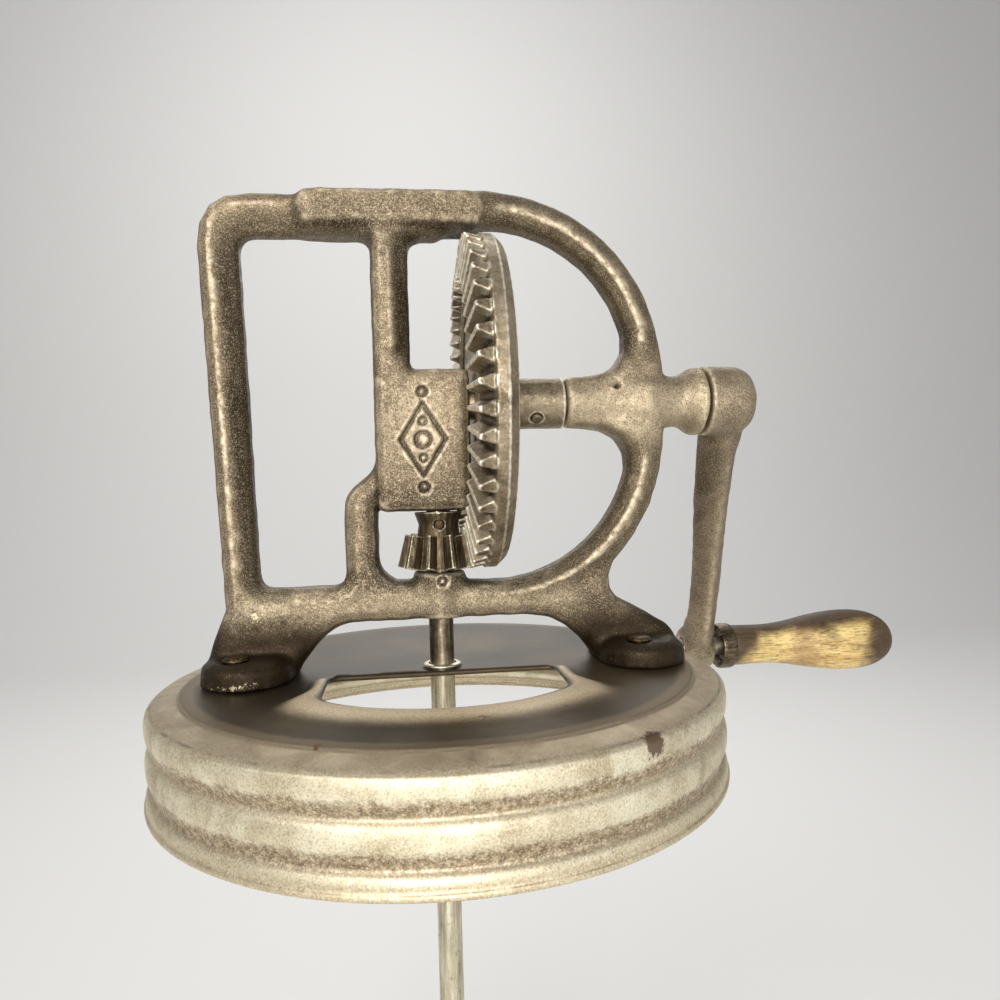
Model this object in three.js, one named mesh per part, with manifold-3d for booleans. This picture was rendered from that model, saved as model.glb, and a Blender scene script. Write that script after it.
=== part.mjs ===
// Hand cranked churn head: a screw-on lid with a cast frame, a bevel gear pair, a crank and a dasher.
// Millimetres, +Z up. The origin is the centre of the jar mouth, on the plane where the jar rim seats.
// The frame casting stands in the XZ plane, the crank leaves it towards +X.

import * as THREE from 'three';
import { mergeVertices } from 'three/addons/utils/BufferGeometryUtils.js';
import Module from 'manifold-3d';

const wasm = await Module();
wasm.setup();

const { PI, cos, sin, tan, atan, sqrt } = Math;
const HALF_TURN = PI;
const QUARTER_TURN = PI / 2;
const FULL_TURN = 2 * PI;

// Clearances
const fitGap = 0.25;            // between pieces that seat on each other
const runGap = 0.3;             // round a turning shaft, on the radius
const endGap = 0.35;            // end play beside a turning piece
const cutOver = 1.5;            // how far a cutter runs past what it cuts
const weldReach = 0.0001;       // points of one surface that lie closer are one point

// Lid: pressed sheet with a raised disc, a rounded shoulder and three rolled bands
const lid = {
  outerRadius: 60.5,
  sheet: 1.0,
  discInset: 4.9,
  discRise: 0.9,
  discSlope: 0.9,
  shoulderRadius: 3.4,
  bandDepth: 1.3,
  bandTopHeight: 2.6,
  grooveHeight: 2.4,
  bandMiddleHeight: 4.2,
  bandLowHeight: 3.6,
  hemRadius: 0.95,
};
const lidSegments = 36;
const lidCurveSteps = 3;

// Seal ring under the disc, where the jar rim seats
const seal = { inset: 0.7, width: 6.7, thickness: 1.6 };

// Pouring window in the lid, and the pressed bead round it
const pour = { side: 9.1, back: 5.4, lip: 22.4, cornerRadius: 1.8 };
const bead = { width: 3.0, rise: 0.9, back: 0.6 };

// Eyelet that lines the rod hole of the lid
const eyelet = { wall: 0.4, flangeWidth: 0.6, flangeThickness: 0.8, neckDepth: 1.4 };

// Dasher rod, which runs from the block down through the lid
const rod = { radius: 2.7, top: 8.5, length: 252 };

// Crank axis above the lid's disc
const crankHeight = 58;

// Bevel gear pair
const gearTeeth = 46;
const pinionTeeth = 10;
const gearPitchRadius = 35.85;
const gearRim = { lip: 0.35, depth: 4.35, chamfer: 1.9, width: 4.7 };
const gearWeb = { room: 1.1, thickness: 3.7 };
const gearHub = { radius: 5.65, flareRadius: 9.4, flareLength: 3.4 };
const gearPin = { radius: 1.15, proud: 0.5, tilt: 0.72 };
const gearInnerShare = 0.765;
const pinionInnerShare = 0.80;
const addendumShare = 0.92;
const dedendumShare = 1.22;
const rootReachShare = 1.25;
const gearThicknessShare = 0.405;
const pinionThicknessShare = 0.43;
const pressureAngle = 20 * PI / 180;
const pinionNeck = { topRadius: 5.3, waistRadius: 4.4 };
const pinionPin = { radius: 1.0, proud: 0.7 };

// Frame casting. Places across count from the rod's axis
const frame = {
  depth: 10,
  edgeRound: 2.6,
  barWidth: 8.1,
  archWidth: 7.5,
  footOut: 3.2,                 // from the foot's rivet to the outside of the left bar
  lean: 3.5,                    // how far the left bar leans out by its top
  cornerRadius: 11,
  topBar: 8.7,
  lowBar: 7.8,
  underRun: 23.4,               // from a foot's rivets to the flat part of the underside
  archCentreX: 12,
  archRise: 7.3,                // from the crank axis to the centre of each turn of the arch
  gearRoom: 3.0,
  crownStep: 2.7,               // how much lower the window's top lies than the arch's crown
  crownLead: 10.8,
  crownBend: 7.2,
};
const tongueTurnShare = 0.16;
const gripWindow = {
  stepDrop: 14.4,
  stepHeight: 4.6,
  stepRound: 7.0,
  bayWall: 7.1,
  cornerRadius: 3.2,
  lowSpread: 1.2,               // how much narrower the left bar is at its foot
};
const post = { right: 5.2 };
const block = { left: 13.2, right: 7.4, rise: 7.4, drop: 23.3, depth: 12.4, edgeRound: 2.0 };
const pinionBay = { room: 4.0, drop: 20.1, cornerRadius: 3.6, shelfRoom: 1.1, sag: 1.8 };
const plate = { inset: 21.9, right: 10.3, drop: 6.9, rise: 0.5, taper: 1.9, depth: 12.4, edgeRound: 1.1 };
const rodBoss = { radius: 5.8 };

// Feet of the casting: pads that lie a little to the right of their rivets
const foot = {
  inset: 3.9,
  shift: 1.6,
  halfWidth: 9.3,
  halfLength: 15,
  thickness: 5.4,
  edgeDrop: 1.5,
  edgeRun: 2.4,
  kneeHeight: 12.5,             // of the right leg's outer side, straight over the rivet
};
const flare = { height: 4.8, topHalfX: 3.6, topHalfY: 4.4, rootHalfX: 8.6, rootHalfY: 8.0 };
const flareSteps = 3;
const rivet = { headRadius: 2.7, headRise: 0.9, shankRadius: 1.7, setY: 9.3, tailRise: 1.3 };
const rivetFaceShare = 0.72;
const rivetSegments = 8;

// Crank shaft and its bearing boss
const shaft = { radius: 3.4, leftEnd: 3.2, rightGrip: 7.4 };
const boss = {
  left: 28.9,
  radius: 5.9,
  neck: 7.4,
  collarRadius: 7.9,
  collarLength: 2.2,
  collarRun: 3.2,
  waistFlare: 1.4,
};
const oiler = { x: 40.0, radius: 0.8, rimRadius: 1.8, rimRise: 0.7, tilt: 0.52 };

// Crank arm and its turned grip
const crank = { length: 82, restTilt: 34.8 * PI / 180 };
const armHub = { room: 0.4, radius: 8.0, length: 11.9, domeRise: 4.2 };
const arm = { offset: 9.25, rootHalfX: 5.3, endHalfX: 4.2, rootHalfWide: 6.2, midHalfWide: 4.2 };
const armThinnedShare = 0.62;
const armStations = 6;
const armEye = { radius: 6.4, halfThickness: 4.5, edgeRound: 1.2 };
const gripPin = { radius: 2.6, headRadius: 3.9, headThickness: 1.6, headTaper: 0.8 };
const grip = { room: 1.9, length: 53.6, bellyRadius: 9.0, socketDepth: 2.6 };
const ferrule = { sheet: 0.7, radius: 6.6, length: 4.2, taper: 0.4 };

// Dasher: two boards halved into each other, between a collar and a nut
const board = { halfWidth: 46, height: 48, thickness: 8, cornerRadius: 7, boreGap: 0.3 };
const boardHole = { radius: 6.5, segments: 14 };
const boardHoleReachShare = 0.62;
const boardHoleHeightShares = [0.28, 0.72];
const collar = { radius: 6.0, height: 6.5, pinRadius: 1.1, pinProud: 0.4 };
const nut = { acrossFlats: 11, height: 4.8 };
const nutSides = 6;
const washer = { radius: 8.5, thickness: 1.2 };

// Heights in the part's own frame
const discTop = seal.thickness + fitGap + lid.sheet;
const axisZ = discTop + crankHeight;
const rodTop = axisZ - rod.top;
const rodBottom = rodTop - rod.length;

// Bevel gear sizes that follow from the teeth
const gearConeAngle = atan(gearTeeth / pinionTeeth);
const pinionConeAngle = QUARTER_TURN - gearConeAngle;
const coneDistance = gearPitchRadius / sin(gearConeAngle);
const toothModule = 2 * gearPitchRadius / gearTeeth;
const addendum = addendumShare * toothModule;
const dedendum = dedendumShare * toothModule;
const gearRadius = gearPitchRadius + gearRim.lip;
const pinionTip = coneDistance * sin(pinionConeAngle) + addendum * cos(pinionConeAngle);
const gearRootOut = rootPoint(gearConeAngle, 1);
const pinionRootOut = rootPoint(pinionConeAngle, 1);

// Lid sizes, and where the feet and the window lie on it
const discRadius = lid.outerRadius - lid.discInset;
const rodHoleRadius = rod.radius + runGap + eyelet.wall + fitGap;
const footX = discRadius - foot.inset - foot.halfWidth;
const pourHalfWidth = footX - foot.halfWidth - pour.side;
const pourArcRadius = discRadius - pour.lip;

// Left side of the casting, which follows its foot
const footedLeft = footX + frame.footOut;
const outerLeft = footedLeft + frame.lean;
const plateLeft = outerLeft - plate.inset;

// Heights of the casting above the lid's disc, which follow from the gear pair
const archInner = gearRadius + frame.gearRoom - frame.archRise;
const archOuter = archInner + frame.archWidth;
const archTopCentre = crankHeight + frame.archRise;
const archLowCentre = crankHeight - frame.archRise;
const windowTop = archTopCentre + archInner - frame.crownStep;
const windowBottom = archLowCentre - archInner;
const topHeight = windowTop + frame.topBar;
const underBar = windowBottom - frame.lowBar;
const blockTop = crankHeight + block.rise;
const blockBottom = crankHeight - block.drop;
const bayTop = crankHeight - pinionBay.drop;
const bayBottom = crankHeight - pinionRootOut[1] - endGap;
const bayLeft = pinionTip + pinionBay.room;

// Stations along the crank axis
const archSide = frame.archCentreX + archOuter;
const collarLeft = archSide + boss.neck;
const bossRight = collarLeft + boss.collarLength;
const hubEnd = boss.left - endGap;
const webFront = block.right + gearWeb.room;
const webBack = webFront + gearWeb.thickness;
const rimBack = gearRootOut[1] + gearRim.depth;
const armHubLeft = bossRight + armHub.room;
const armHubRight = armHubLeft + armHub.length;
const armRootX = armHubLeft + armHub.length / 2;
const armEndX = armRootX + arm.offset;
const eyeInner = armEndX - armEye.halfThickness;
const eyeOuter = armEndX + armEye.halfThickness;
const gripStart = eyeOuter + grip.room;
const gripEnd = gripStart + grip.length;

// Point on the root cone at a share of the cone distance, as [radius, station]
function rootPoint(coneAngle, share) {
  return [
    share * (coneDistance * sin(coneAngle) - dedendum * cos(coneAngle)),
    share * (coneDistance * cos(coneAngle) + dedendum * sin(coneAngle)),
  ];
}

function finish(colour, roughness, metalness) {
  return new THREE.MeshStandardMaterial({ color: colour, roughness, metalness });
}

const castIron = () => finish(0x6b5a48, 0.55, 0.7);
const wornSteel = () => finish(0x9a9184, 0.35, 0.9);
const tinPlate = () => finish(0x8f8068, 0.45, 0.8);
const darkSteel = () => finish(0x4a4038, 0.5, 0.8);
const turnedWood = () => finish(0xb08650, 0.5, 0.0);
const paleWood = () => finish(0xc9a878, 0.7, 0.0);
const rubber = () => finish(0xb4aea2, 0.8, 0.0);

// Solids: a closed geometry becomes a body that can be joined and cut
function solid(geometry, matrix) {
  const copy = geometry.clone();
  if (matrix) {
    copy.applyMatrix4(matrix);
  }
  copy.deleteAttribute('normal');
  if (copy.getAttribute('uv')) {
    copy.deleteAttribute('uv');
  }
  const merged = mergeVertices(copy, weldReach);
  const triVerts = [];
  const index = merged.index.array;
  for (let i = 0; i < index.length; i += 3) {
    const [a, b, c] = [index[i], index[i + 1], index[i + 2]];
    if (a !== b && b !== c && c !== a) {
      triVerts.push(a, b, c);
    }
  }
  return new wasm.Manifold(new wasm.Mesh({
    numProp: 3,
    vertProperties: new Float32Array(merged.getAttribute('position').array),
    triVerts: new Uint32Array(triVerts),
  }));
}

function fromSolid(body) {
  const mesh = body.getMesh();
  const geometry = new THREE.BufferGeometry();
  geometry.setAttribute('position', new THREE.BufferAttribute(new Float32Array(mesh.vertProperties), 3));
  geometry.setIndex(new THREE.BufferAttribute(new Uint32Array(mesh.triVerts), 1));
  geometry.computeVertexNormals();
  return geometry;
}

function joined(bodies) {
  return bodies.reduce((whole, piece) => whole.add(piece));
}

function cutBy(body, cutters) {
  return cutters.reduce((whole, cutter) => whole.subtract(cutter), body);
}

// Placements
const move = (x, y, z) => new THREE.Matrix4().makeTranslation(x, y, z);
const alongX = () => new THREE.Matrix4().makeRotationZ(-QUARTER_TURN);      // local +Y to +X
const alongZ = () => new THREE.Matrix4().makeRotationX(QUARTER_TURN);       // local +Y to +Z

function placed(...steps) {
  return steps.reduce((whole, step) => whole.multiply(step), new THREE.Matrix4());
}

// Revolved forms: [radius, station] pairs, turned about X or about Z
function revolve(profile, segments) {
  const points = profile.map(([radius, station]) => new THREE.Vector2(Math.max(radius, 0), station));
  return new THREE.LatheGeometry(points, segments);
}

function revolvedX(profile, segments, z = axisZ) {
  return solid(revolve(profile, segments), placed(move(0, 0, z), alongX()));
}

function revolvedZ(profile, segments) {
  return solid(revolve(profile, segments), alongZ());
}

function rodX(radius, from, to, segments = 20, z = axisZ) {
  return revolvedX([[0, from], [radius, from], [radius, to], [0, to]], segments, z);
}

function rodZ(radius, from, to, segments = 20) {
  return revolvedZ([[0, from], [radius, from], [radius, to], [0, to]], segments);
}

// A pin on any line: its middle, its direction and its half length
function pinSolid(radius, halfLength, middle, direction, segments = 16) {
  const turn = new THREE.Quaternion().setFromUnitVectors(new THREE.Vector3(0, 1, 0), direction);
  const matrix = new THREE.Matrix4().compose(middle, turn, new THREE.Vector3(1, 1, 1));
  const profile = [[0, -halfLength], [radius, -halfLength], [radius, halfLength], [0, halfLength]];
  return solid(revolve(profile, segments), matrix);
}

// The same outline with its outer edge drawn counterclockwise, which its holes then follow
function turnedOutline(shape, curveSegments) {
  const { shape: edge, holes } = shape.extractPoints(curveSegments);
  if (THREE.ShapeUtils.isClockWise(edge)) {
    edge.reverse();
  }
  const turned = new THREE.Shape(edge);
  turned.holes = holes.map((hole) => new THREE.Path(hole));
  return turned;
}

// Flat forms, drawn as x against height, given a depth about the plane Y = 0
function standing(shape, depth, round, curveSegments = 8, roundSteps = 2) {
  const geometry = new THREE.ExtrudeGeometry(turnedOutline(shape, curveSegments), {
    depth: depth - 2 * round,
    bevelEnabled: round > 0,
    bevelThickness: round,
    bevelSize: round,
    bevelOffset: -round,
    bevelSegments: roundSteps,
    curveSegments,
  });
  return solid(geometry, placed(move(0, depth / 2 - round, discTop), alongZ()));
}

// Flat forms, drawn as x against y, raised from one height
function lying(shape, bottom, height, curveSegments = 10) {
  const geometry = new THREE.ExtrudeGeometry(shape, { depth: height, bevelEnabled: false, curveSegments });
  return solid(geometry, move(0, 0, bottom));
}

// An outline of [x, y, radius] corners, each rounded by its own radius
function roundedOutline(corners, Form = THREE.Shape) {
  const form = new Form();
  const count = corners.length;
  corners.forEach(([x, y, radius], i) => {
    const here = new THREE.Vector2(x, y);
    const [px, py] = corners[(i + count - 1) % count];
    const [nx, ny] = corners[(i + 1) % count];
    const back = new THREE.Vector2(px, py).sub(here).normalize();
    const ahead = new THREE.Vector2(nx, ny).sub(here).normalize();
    const half = Math.acos(THREE.MathUtils.clamp(back.dot(ahead), -1, 1)) / 2;
    const reach = radius / tan(half);
    const from = here.clone().addScaledVector(back, reach);
    const to = here.clone().addScaledVector(ahead, reach);
    if (i === 0) {
      form.moveTo(from.x, from.y);
    } else {
      form.lineTo(from.x, from.y);
    }
    if (radius > 0) {
      form.quadraticCurveTo(x, y, to.x, to.y);
    }
  });
  form.closePath();
  return form;
}

// Lid

// Outer side of the sheet from the rod hole out and down to the hem, as [radius, height]
function lidOuterProfile() {
  const step = lid.outerRadius - lid.bandDepth;
  const shoulderTop = discTop - lid.discRise;
  const profile = [[rodHoleRadius, discTop], [discRadius, discTop]];
  profile.push([discRadius + lid.discSlope, shoulderTop]);
  for (let i = 1; i <= lidCurveSteps; i += 1) {
    const angle = QUARTER_TURN * (1 - i / lidCurveSteps);
    profile.push([
      lid.outerRadius - lid.shoulderRadius * (1 - cos(angle)),
      shoulderTop - lid.shoulderRadius * (1 - sin(angle)),
    ]);
  }
  let height = shoulderTop - lid.shoulderRadius - lid.bandTopHeight / 2;
  profile.push([lid.outerRadius, height]);
  for (const band of [lid.bandMiddleHeight, lid.bandLowHeight]) {
    profile.push([step, height - lid.grooveHeight / 2]);
    profile.push([lid.outerRadius, height - lid.grooveHeight]);
    height -= lid.grooveHeight + band;
    profile.push([lid.outerRadius, height]);
  }
  return { profile, hemZ: height };
}

const lidShape = lidOuterProfile();

// The window's edge, or the edge of its bead: a straight back, square corners and a front round the rod
function pourOutline(grow) {
  const half = pourHalfWidth + grow;
  const radius = pourArcRadius + grow;
  const back = Math.min(grow, bead.back) - pour.back;
  const side = pour.cornerRadius + grow / 2;
  const cornerY = -sqrt(radius ** 2 - half ** 2);
  const turn = Math.acos((half - side) / radius);
  const outline = new THREE.Shape();
  outline.moveTo(-half + side, back);
  outline.lineTo(half - side, back);
  outline.quadraticCurveTo(half, back, half, back - side);
  outline.lineTo(half, cornerY + side);
  outline.quadraticCurveTo(half, cornerY, half - side, -radius * sin(turn));
  outline.absarc(0, 0, radius, -turn, turn - HALF_TURN, true);
  outline.quadraticCurveTo(-half, cornerY, -half, cornerY + side);
  outline.lineTo(-half, back - side);
  outline.quadraticCurveTo(-half, back, -half + side, back);
  return outline;
}

function rivetPlaces() {
  const places = [];
  for (const [sideName, sideSign] of [['left', -1], ['right', 1]]) {
    for (const [endName, endSign] of [['front', -1], ['back', 1]]) {
      const name = `foot_rivet_${endName}_${sideName}`;
      places.push({ name, x: sideSign * footX, y: endSign * rivet.setY });
    }
  }
  return places;
}

function atRivet(place, profile) {
  return solid(revolve(profile, rivetSegments), placed(move(place.x, place.y, 0), alongZ()));
}

function rivetHoles(from, to) {
  const radius = rivet.shankRadius + fitGap;
  return rivetPlaces().map((place) => atRivet(place, [[0, from], [radius, from], [radius, to], [0, to]]));
}

// The hem's roll, from the skirt's outer side round to its inner side
function hemProfile(hemZ) {
  const centre = lid.outerRadius - lid.sheet + lid.hemRadius;
  const hem = [];
  for (let i = 1; i <= lidCurveSteps; i += 1) {
    const angle = QUARTER_TURN - HALF_TURN * i / lidCurveSteps;
    hem.push([centre + lid.hemRadius * cos(angle), hemZ - lid.hemRadius * (1 - sin(angle))]);
  }
  return hem;
}

function makeLid() {
  const { profile, hemZ } = lidShape;
  const wall = lid.sheet;
  const loop = [
    ...profile,
    ...hemProfile(hemZ),
    [lid.outerRadius - wall, hemZ - 2 * lid.hemRadius],
    ...profile.slice(lidCurveSteps).map(([radius, height]) => [radius - wall, height]).reverse(),
    [discRadius, discTop - wall],
    [rodHoleRadius, discTop - wall],
  ];
  loop.push(loop[0]);
  const sheet = revolvedZ(loop.reverse(), lidSegments);
  const rim = lying(pourOutline(bead.width), discTop - wall / 2, wall / 2 + bead.rise);
  const window = lying(pourOutline(0), discTop - wall - cutOver, wall + bead.rise + 2 * cutOver);
  return cutBy(sheet.add(rim), [window, ...rivetHoles(discTop - wall - cutOver, discTop + cutOver)]);
}

function makeSeal() {
  const outer = discRadius - seal.inset;
  const inner = outer - seal.width;
  return revolvedZ([
    [inner, 0],
    [outer, 0],
    [outer, seal.thickness],
    [inner, seal.thickness],
    [inner, 0],
  ], lidSegments);
}

function makeEyelet() {
  const bore = rod.radius + runGap;
  const neck = bore + eyelet.wall;
  const flange = rodHoleRadius + eyelet.flangeWidth;
  const base = discTop + fitGap;
  return revolvedZ([
    [bore, base - eyelet.neckDepth],
    [neck, base - eyelet.neckDepth],
    [neck, base],
    [flange, base],
    [flange - eyelet.flangeThickness / 2, base + eyelet.flangeThickness],
    [bore, base + eyelet.flangeThickness],
    [bore, base - eyelet.neckDepth],
  ], 16);
}

function makeRivet(place) {
  const padTop = discTop + foot.thickness + fitGap;
  const tail = discTop - lid.sheet - fitGap;
  return atRivet(place, [
    [0, tail - rivet.tailRise],
    [rivet.headRadius * rivetFaceShare, tail - rivet.tailRise],
    [rivet.headRadius, tail],
    [rivet.shankRadius, tail],
    [rivet.shankRadius, padTop],
    [rivet.headRadius, padTop],
    [rivet.headRadius * rivetFaceShare, padTop + rivet.headRise * rivetFaceShare],
    [0, padTop + rivet.headRise],
  ]);
}

// Frame casting

// The whole outside: left bar, top bar, round arch and the two feet, drawn past the floor that trims them
function castingOutline() {
  const shape = new THREE.Shape();
  const { archCentreX, cornerRadius } = frame;
  const round = frame.edgeRound;
  const [leftToe, leftHeel] = padEnds(-1);
  const [rightHeel, rightToe] = padEnds(1);
  const low = foot.thickness;
  const dip = -3 * round;
  const halfSpan = footX - frame.underRun;
  const waistHeight = (underBar + windowBottom) / 2;
  const lowAngle = -atan((archLowCentre - windowBottom) / (footX - archCentreX));
  const lowX = archCentreX + archOuter * cos(lowAngle);
  shape.moveTo(leftToe, dip);
  shape.lineTo(leftToe, low / 2);
  shape.quadraticCurveTo((leftToe - footedLeft) / 2, (low + waistHeight) / 2, -footedLeft, waistHeight);
  shape.lineTo(-outerLeft, topHeight - cornerRadius);
  shape.quadraticCurveTo(-outerLeft, topHeight, -outerLeft + cornerRadius, topHeight);
  shape.lineTo(-plateLeft, topHeight);
  shape.lineTo(archCentreX, archTopCentre + archOuter);
  shape.absarc(archCentreX, archTopCentre, archOuter, QUARTER_TURN, 0, true);
  shape.lineTo(archSide, archLowCentre);
  shape.absarc(archCentreX, archLowCentre, archOuter, 0, lowAngle, true);
  shape.quadraticCurveTo(lowX - 1.5 * round, waistHeight, footX, foot.kneeHeight);
  shape.lineTo(rightToe - round, (low + foot.kneeHeight) / 2 - round / 2);
  shape.quadraticCurveTo(rightToe, low, rightToe, low / 2);
  shape.lineTo(rightToe, dip);
  shape.lineTo(rightHeel, dip);
  shape.lineTo(rightHeel, 0);
  shape.quadraticCurveTo(rightHeel - 2.5 * round, underBar, halfSpan, underBar);
  shape.lineTo(-halfSpan, underBar);
  shape.quadraticCurveTo(leftHeel + 2.5 * round, underBar, leftHeel, 0);
  shape.lineTo(leftHeel, dip);
  shape.closePath();
  return shape;
}

// Left and right end of a pad
function padEnds(side) {
  const middle = side * footX + foot.shift;
  return [middle - foot.halfWidth, middle + foot.halfWidth];
}

// Loop for the hand, stepped in where the pinion bay needs its wall
function gripWindowHole() {
  const left = outerLeft - frame.barWidth;
  const lowLeft = footedLeft - frame.barWidth + gripWindow.lowSpread;
  const lowRight = bayLeft + gripWindow.bayWall;
  const stepTop = crankHeight - gripWindow.stepDrop;
  const r = gripWindow.cornerRadius;
  return roundedOutline([
    [-left, windowTop, r],
    [-block.left, windowTop, r],
    [-block.left, stepTop, gripWindow.stepRound],
    [-lowRight, stepTop - gripWindow.stepHeight, gripWindow.stepRound],
    [-lowRight, windowBottom, r],
    [-lowLeft, windowBottom, r],
  ], THREE.Path);
}

// The opening round the gear: a D on the right, a notch above the block, the pinion bay below it
function gearOpening() {
  const { archCentreX } = frame;
  const r = pinionBay.cornerRadius;
  const tongueTop = crankHeight + boss.radius - fitGap;
  const tongueBottom = crankHeight - boss.radius + fitGap;
  const tongueTurn = QUARTER_TURN * tongueTurnShare;
  const bendX = archCentreX + archInner;
  const crown = archTopCentre + archInner;
  const shelfLeft = pinionNeck.topRadius + pinionBay.shelfRoom;
  const lowEndX = archCentreX + archInner * cos(tongueTurn);
  const lowEndHeight = archLowCentre - archInner * sin(tongueTurn);
  const hole = new THREE.Path();
  hole.moveTo(-post.right, windowTop - r);
  hole.quadraticCurveTo(-post.right, windowTop, -post.right + r, windowTop);
  hole.lineTo(archCentreX - frame.crownLead, windowTop);
  hole.quadraticCurveTo(archCentreX - frame.crownBend, crown, archCentreX, crown);
  hole.absarc(archCentreX, archTopCentre, archInner, QUARTER_TURN, tongueTurn, true);
  hole.quadraticCurveTo(bendX, tongueTop + fitGap, boss.left + r, tongueTop);
  hole.lineTo(boss.left, tongueTop);
  hole.lineTo(boss.left, tongueBottom);
  hole.lineTo(boss.left + r, tongueBottom);
  hole.quadraticCurveTo(bendX, tongueBottom - fitGap, lowEndX, lowEndHeight);
  hole.absarc(archCentreX, archLowCentre, archInner, -tongueTurn, -QUARTER_TURN, true);
  hole.lineTo(-bayLeft + r, bayBottom - pinionBay.sag);
  hole.quadraticCurveTo(-bayLeft, bayBottom, -bayLeft, bayBottom + r);
  hole.lineTo(-bayLeft, bayTop - r);
  hole.quadraticCurveTo(-bayLeft, bayTop, -bayLeft + r, bayTop);
  hole.lineTo(-shelfLeft, bayTop);
  hole.lineTo(-shelfLeft, blockBottom);
  hole.lineTo(block.right, blockBottom);
  hole.lineTo(block.right, blockTop);
  hole.lineTo(-post.right, blockTop);
  hole.closePath();
  return hole;
}

function footPad(side) {
  const { halfWidth, halfLength, thickness, edgeDrop, edgeRun } = foot;
  const straight = halfLength - halfWidth;
  const shape = new THREE.Shape();
  shape.absarc(0, -straight, halfWidth, HALF_TURN, FULL_TURN, false);
  shape.absarc(0, straight, halfWidth, 0, HALF_TURN, false);
  const geometry = new THREE.ExtrudeGeometry(shape, {
    depth: 2 * (thickness - edgeDrop),
    bevelEnabled: true,
    bevelThickness: edgeDrop,
    bevelSize: edgeRun,
    bevelOffset: -edgeRun,
    bevelSegments: 1,
    curveSegments: 5,
  });
  return solid(geometry, move(side * footX + foot.shift, 0, discTop - thickness + edgeDrop));
}

// A concave flare that carries each leg out onto its pad
function footFlare(side) {
  const root = foot.thickness - foot.edgeDrop;
  const rings = [];
  for (let i = 0; i <= flareSteps; i += 1) {
    const angle = QUARTER_TURN * i / flareSteps;
    const share = 1 - sin(angle);
    const halfX = flare.topHalfX + (flare.rootHalfX - flare.topHalfX) * share;
    const halfY = flare.topHalfY + (flare.rootHalfY - flare.topHalfY) * share;
    const z = discTop + root + (flare.height + foot.edgeDrop) * (1 - cos(angle));
    const middle = side * footX + foot.shift * share;
    rings.push(ellipse(12, (c, s) => new THREE.Vector3(middle + halfX * c, halfY * s, z)));
  }
  return loft(rings);
}

function ellipse(count, at) {
  const ring = [];
  for (let i = 0; i < count; i += 1) {
    const angle = FULL_TURN * i / count;
    ring.push(at(cos(angle), sin(angle)));
  }
  return ring;
}

// Joins rings of equal count into a closed body with flat ends
function loft(rings) {
  const count = rings[0].length;
  const points = rings.flat();
  const index = [];
  for (let k = 0; k + 1 < rings.length; k += 1) {
    for (let i = 0; i < count; i += 1) {
      const a = k * count + i;
      const b = k * count + (i + 1) % count;
      index.push(a, b, b + count, a, b + count, a + count);
    }
  }
  const last = (rings.length - 1) * count;
  for (let i = 1; i + 1 < count; i += 1) {
    index.push(0, i + 1, i);
    index.push(last, last + i, last + i + 1);
  }
  const geometry = new THREE.BufferGeometry().setFromPoints(points);
  geometry.setIndex(index);
  return solid(geometry);
}

// The oil hole's place on the crank axis and the way it faces, with its height along that way
function oilerPin(radius, from, to) {
  const outward = new THREE.Vector3(0, -cos(oiler.tilt), sin(oiler.tilt));
  const middle = new THREE.Vector3(oiler.x, 0, axisZ).addScaledVector(outward, (from + to) / 2);
  return pinSolid(radius, (to - from) / 2, middle, outward, 12);
}

// The boss that the crank shaft runs in, with its end collar
function bossSolid() {
  const crossing = archSide - frame.archWidth / 2;
  return revolvedX([
    [0, boss.left],
    [boss.radius, boss.left],
    [boss.radius, crossing - frame.archWidth],
    [boss.radius + boss.waistFlare, crossing],
    [boss.radius, archSide + boss.waistFlare],
    [boss.radius, collarLeft - boss.collarRun],
    [boss.collarRadius, collarLeft],
    [boss.collarRadius, bossRight],
    [0, bossRight],
  ], 20);
}

function blockSolid() {
  return standing(roundedOutline([
    [-block.left, blockBottom, block.edgeRound],
    [block.right, blockBottom, block.edgeRound],
    [block.right, blockTop, block.edgeRound],
    [-block.left, blockTop, block.edgeRound],
  ]), block.depth, block.edgeRound, 2);
}

// The post between the block and the plate, as thick as they are
function postSolid() {
  return standing(roundedOutline([
    [-block.left, blockTop - block.edgeRound, 0],
    [-post.right, blockTop - block.edgeRound, 0],
    [-post.right, topHeight - plate.drop, 0],
    [-block.left, topHeight - plate.drop, 0],
  ]), block.depth, block.edgeRound, 2);
}

// The thick plate on the top bar, pointed a little at both ends
function plateSolid() {
  const { right, taper, edgeRound } = plate;
  const bottom = topHeight - plate.drop;
  const top = topHeight + plate.rise;
  return standing(roundedOutline([
    [-plateLeft, bottom, edgeRound],
    [right, bottom, edgeRound],
    [right + taper, (bottom + top) / 2, edgeRound],
    [right, top, edgeRound],
    [-plateLeft, top, edgeRound],
    [-plateLeft - taper, (bottom + top) / 2, edgeRound],
  ]), plate.depth, edgeRound, 2);
}

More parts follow.
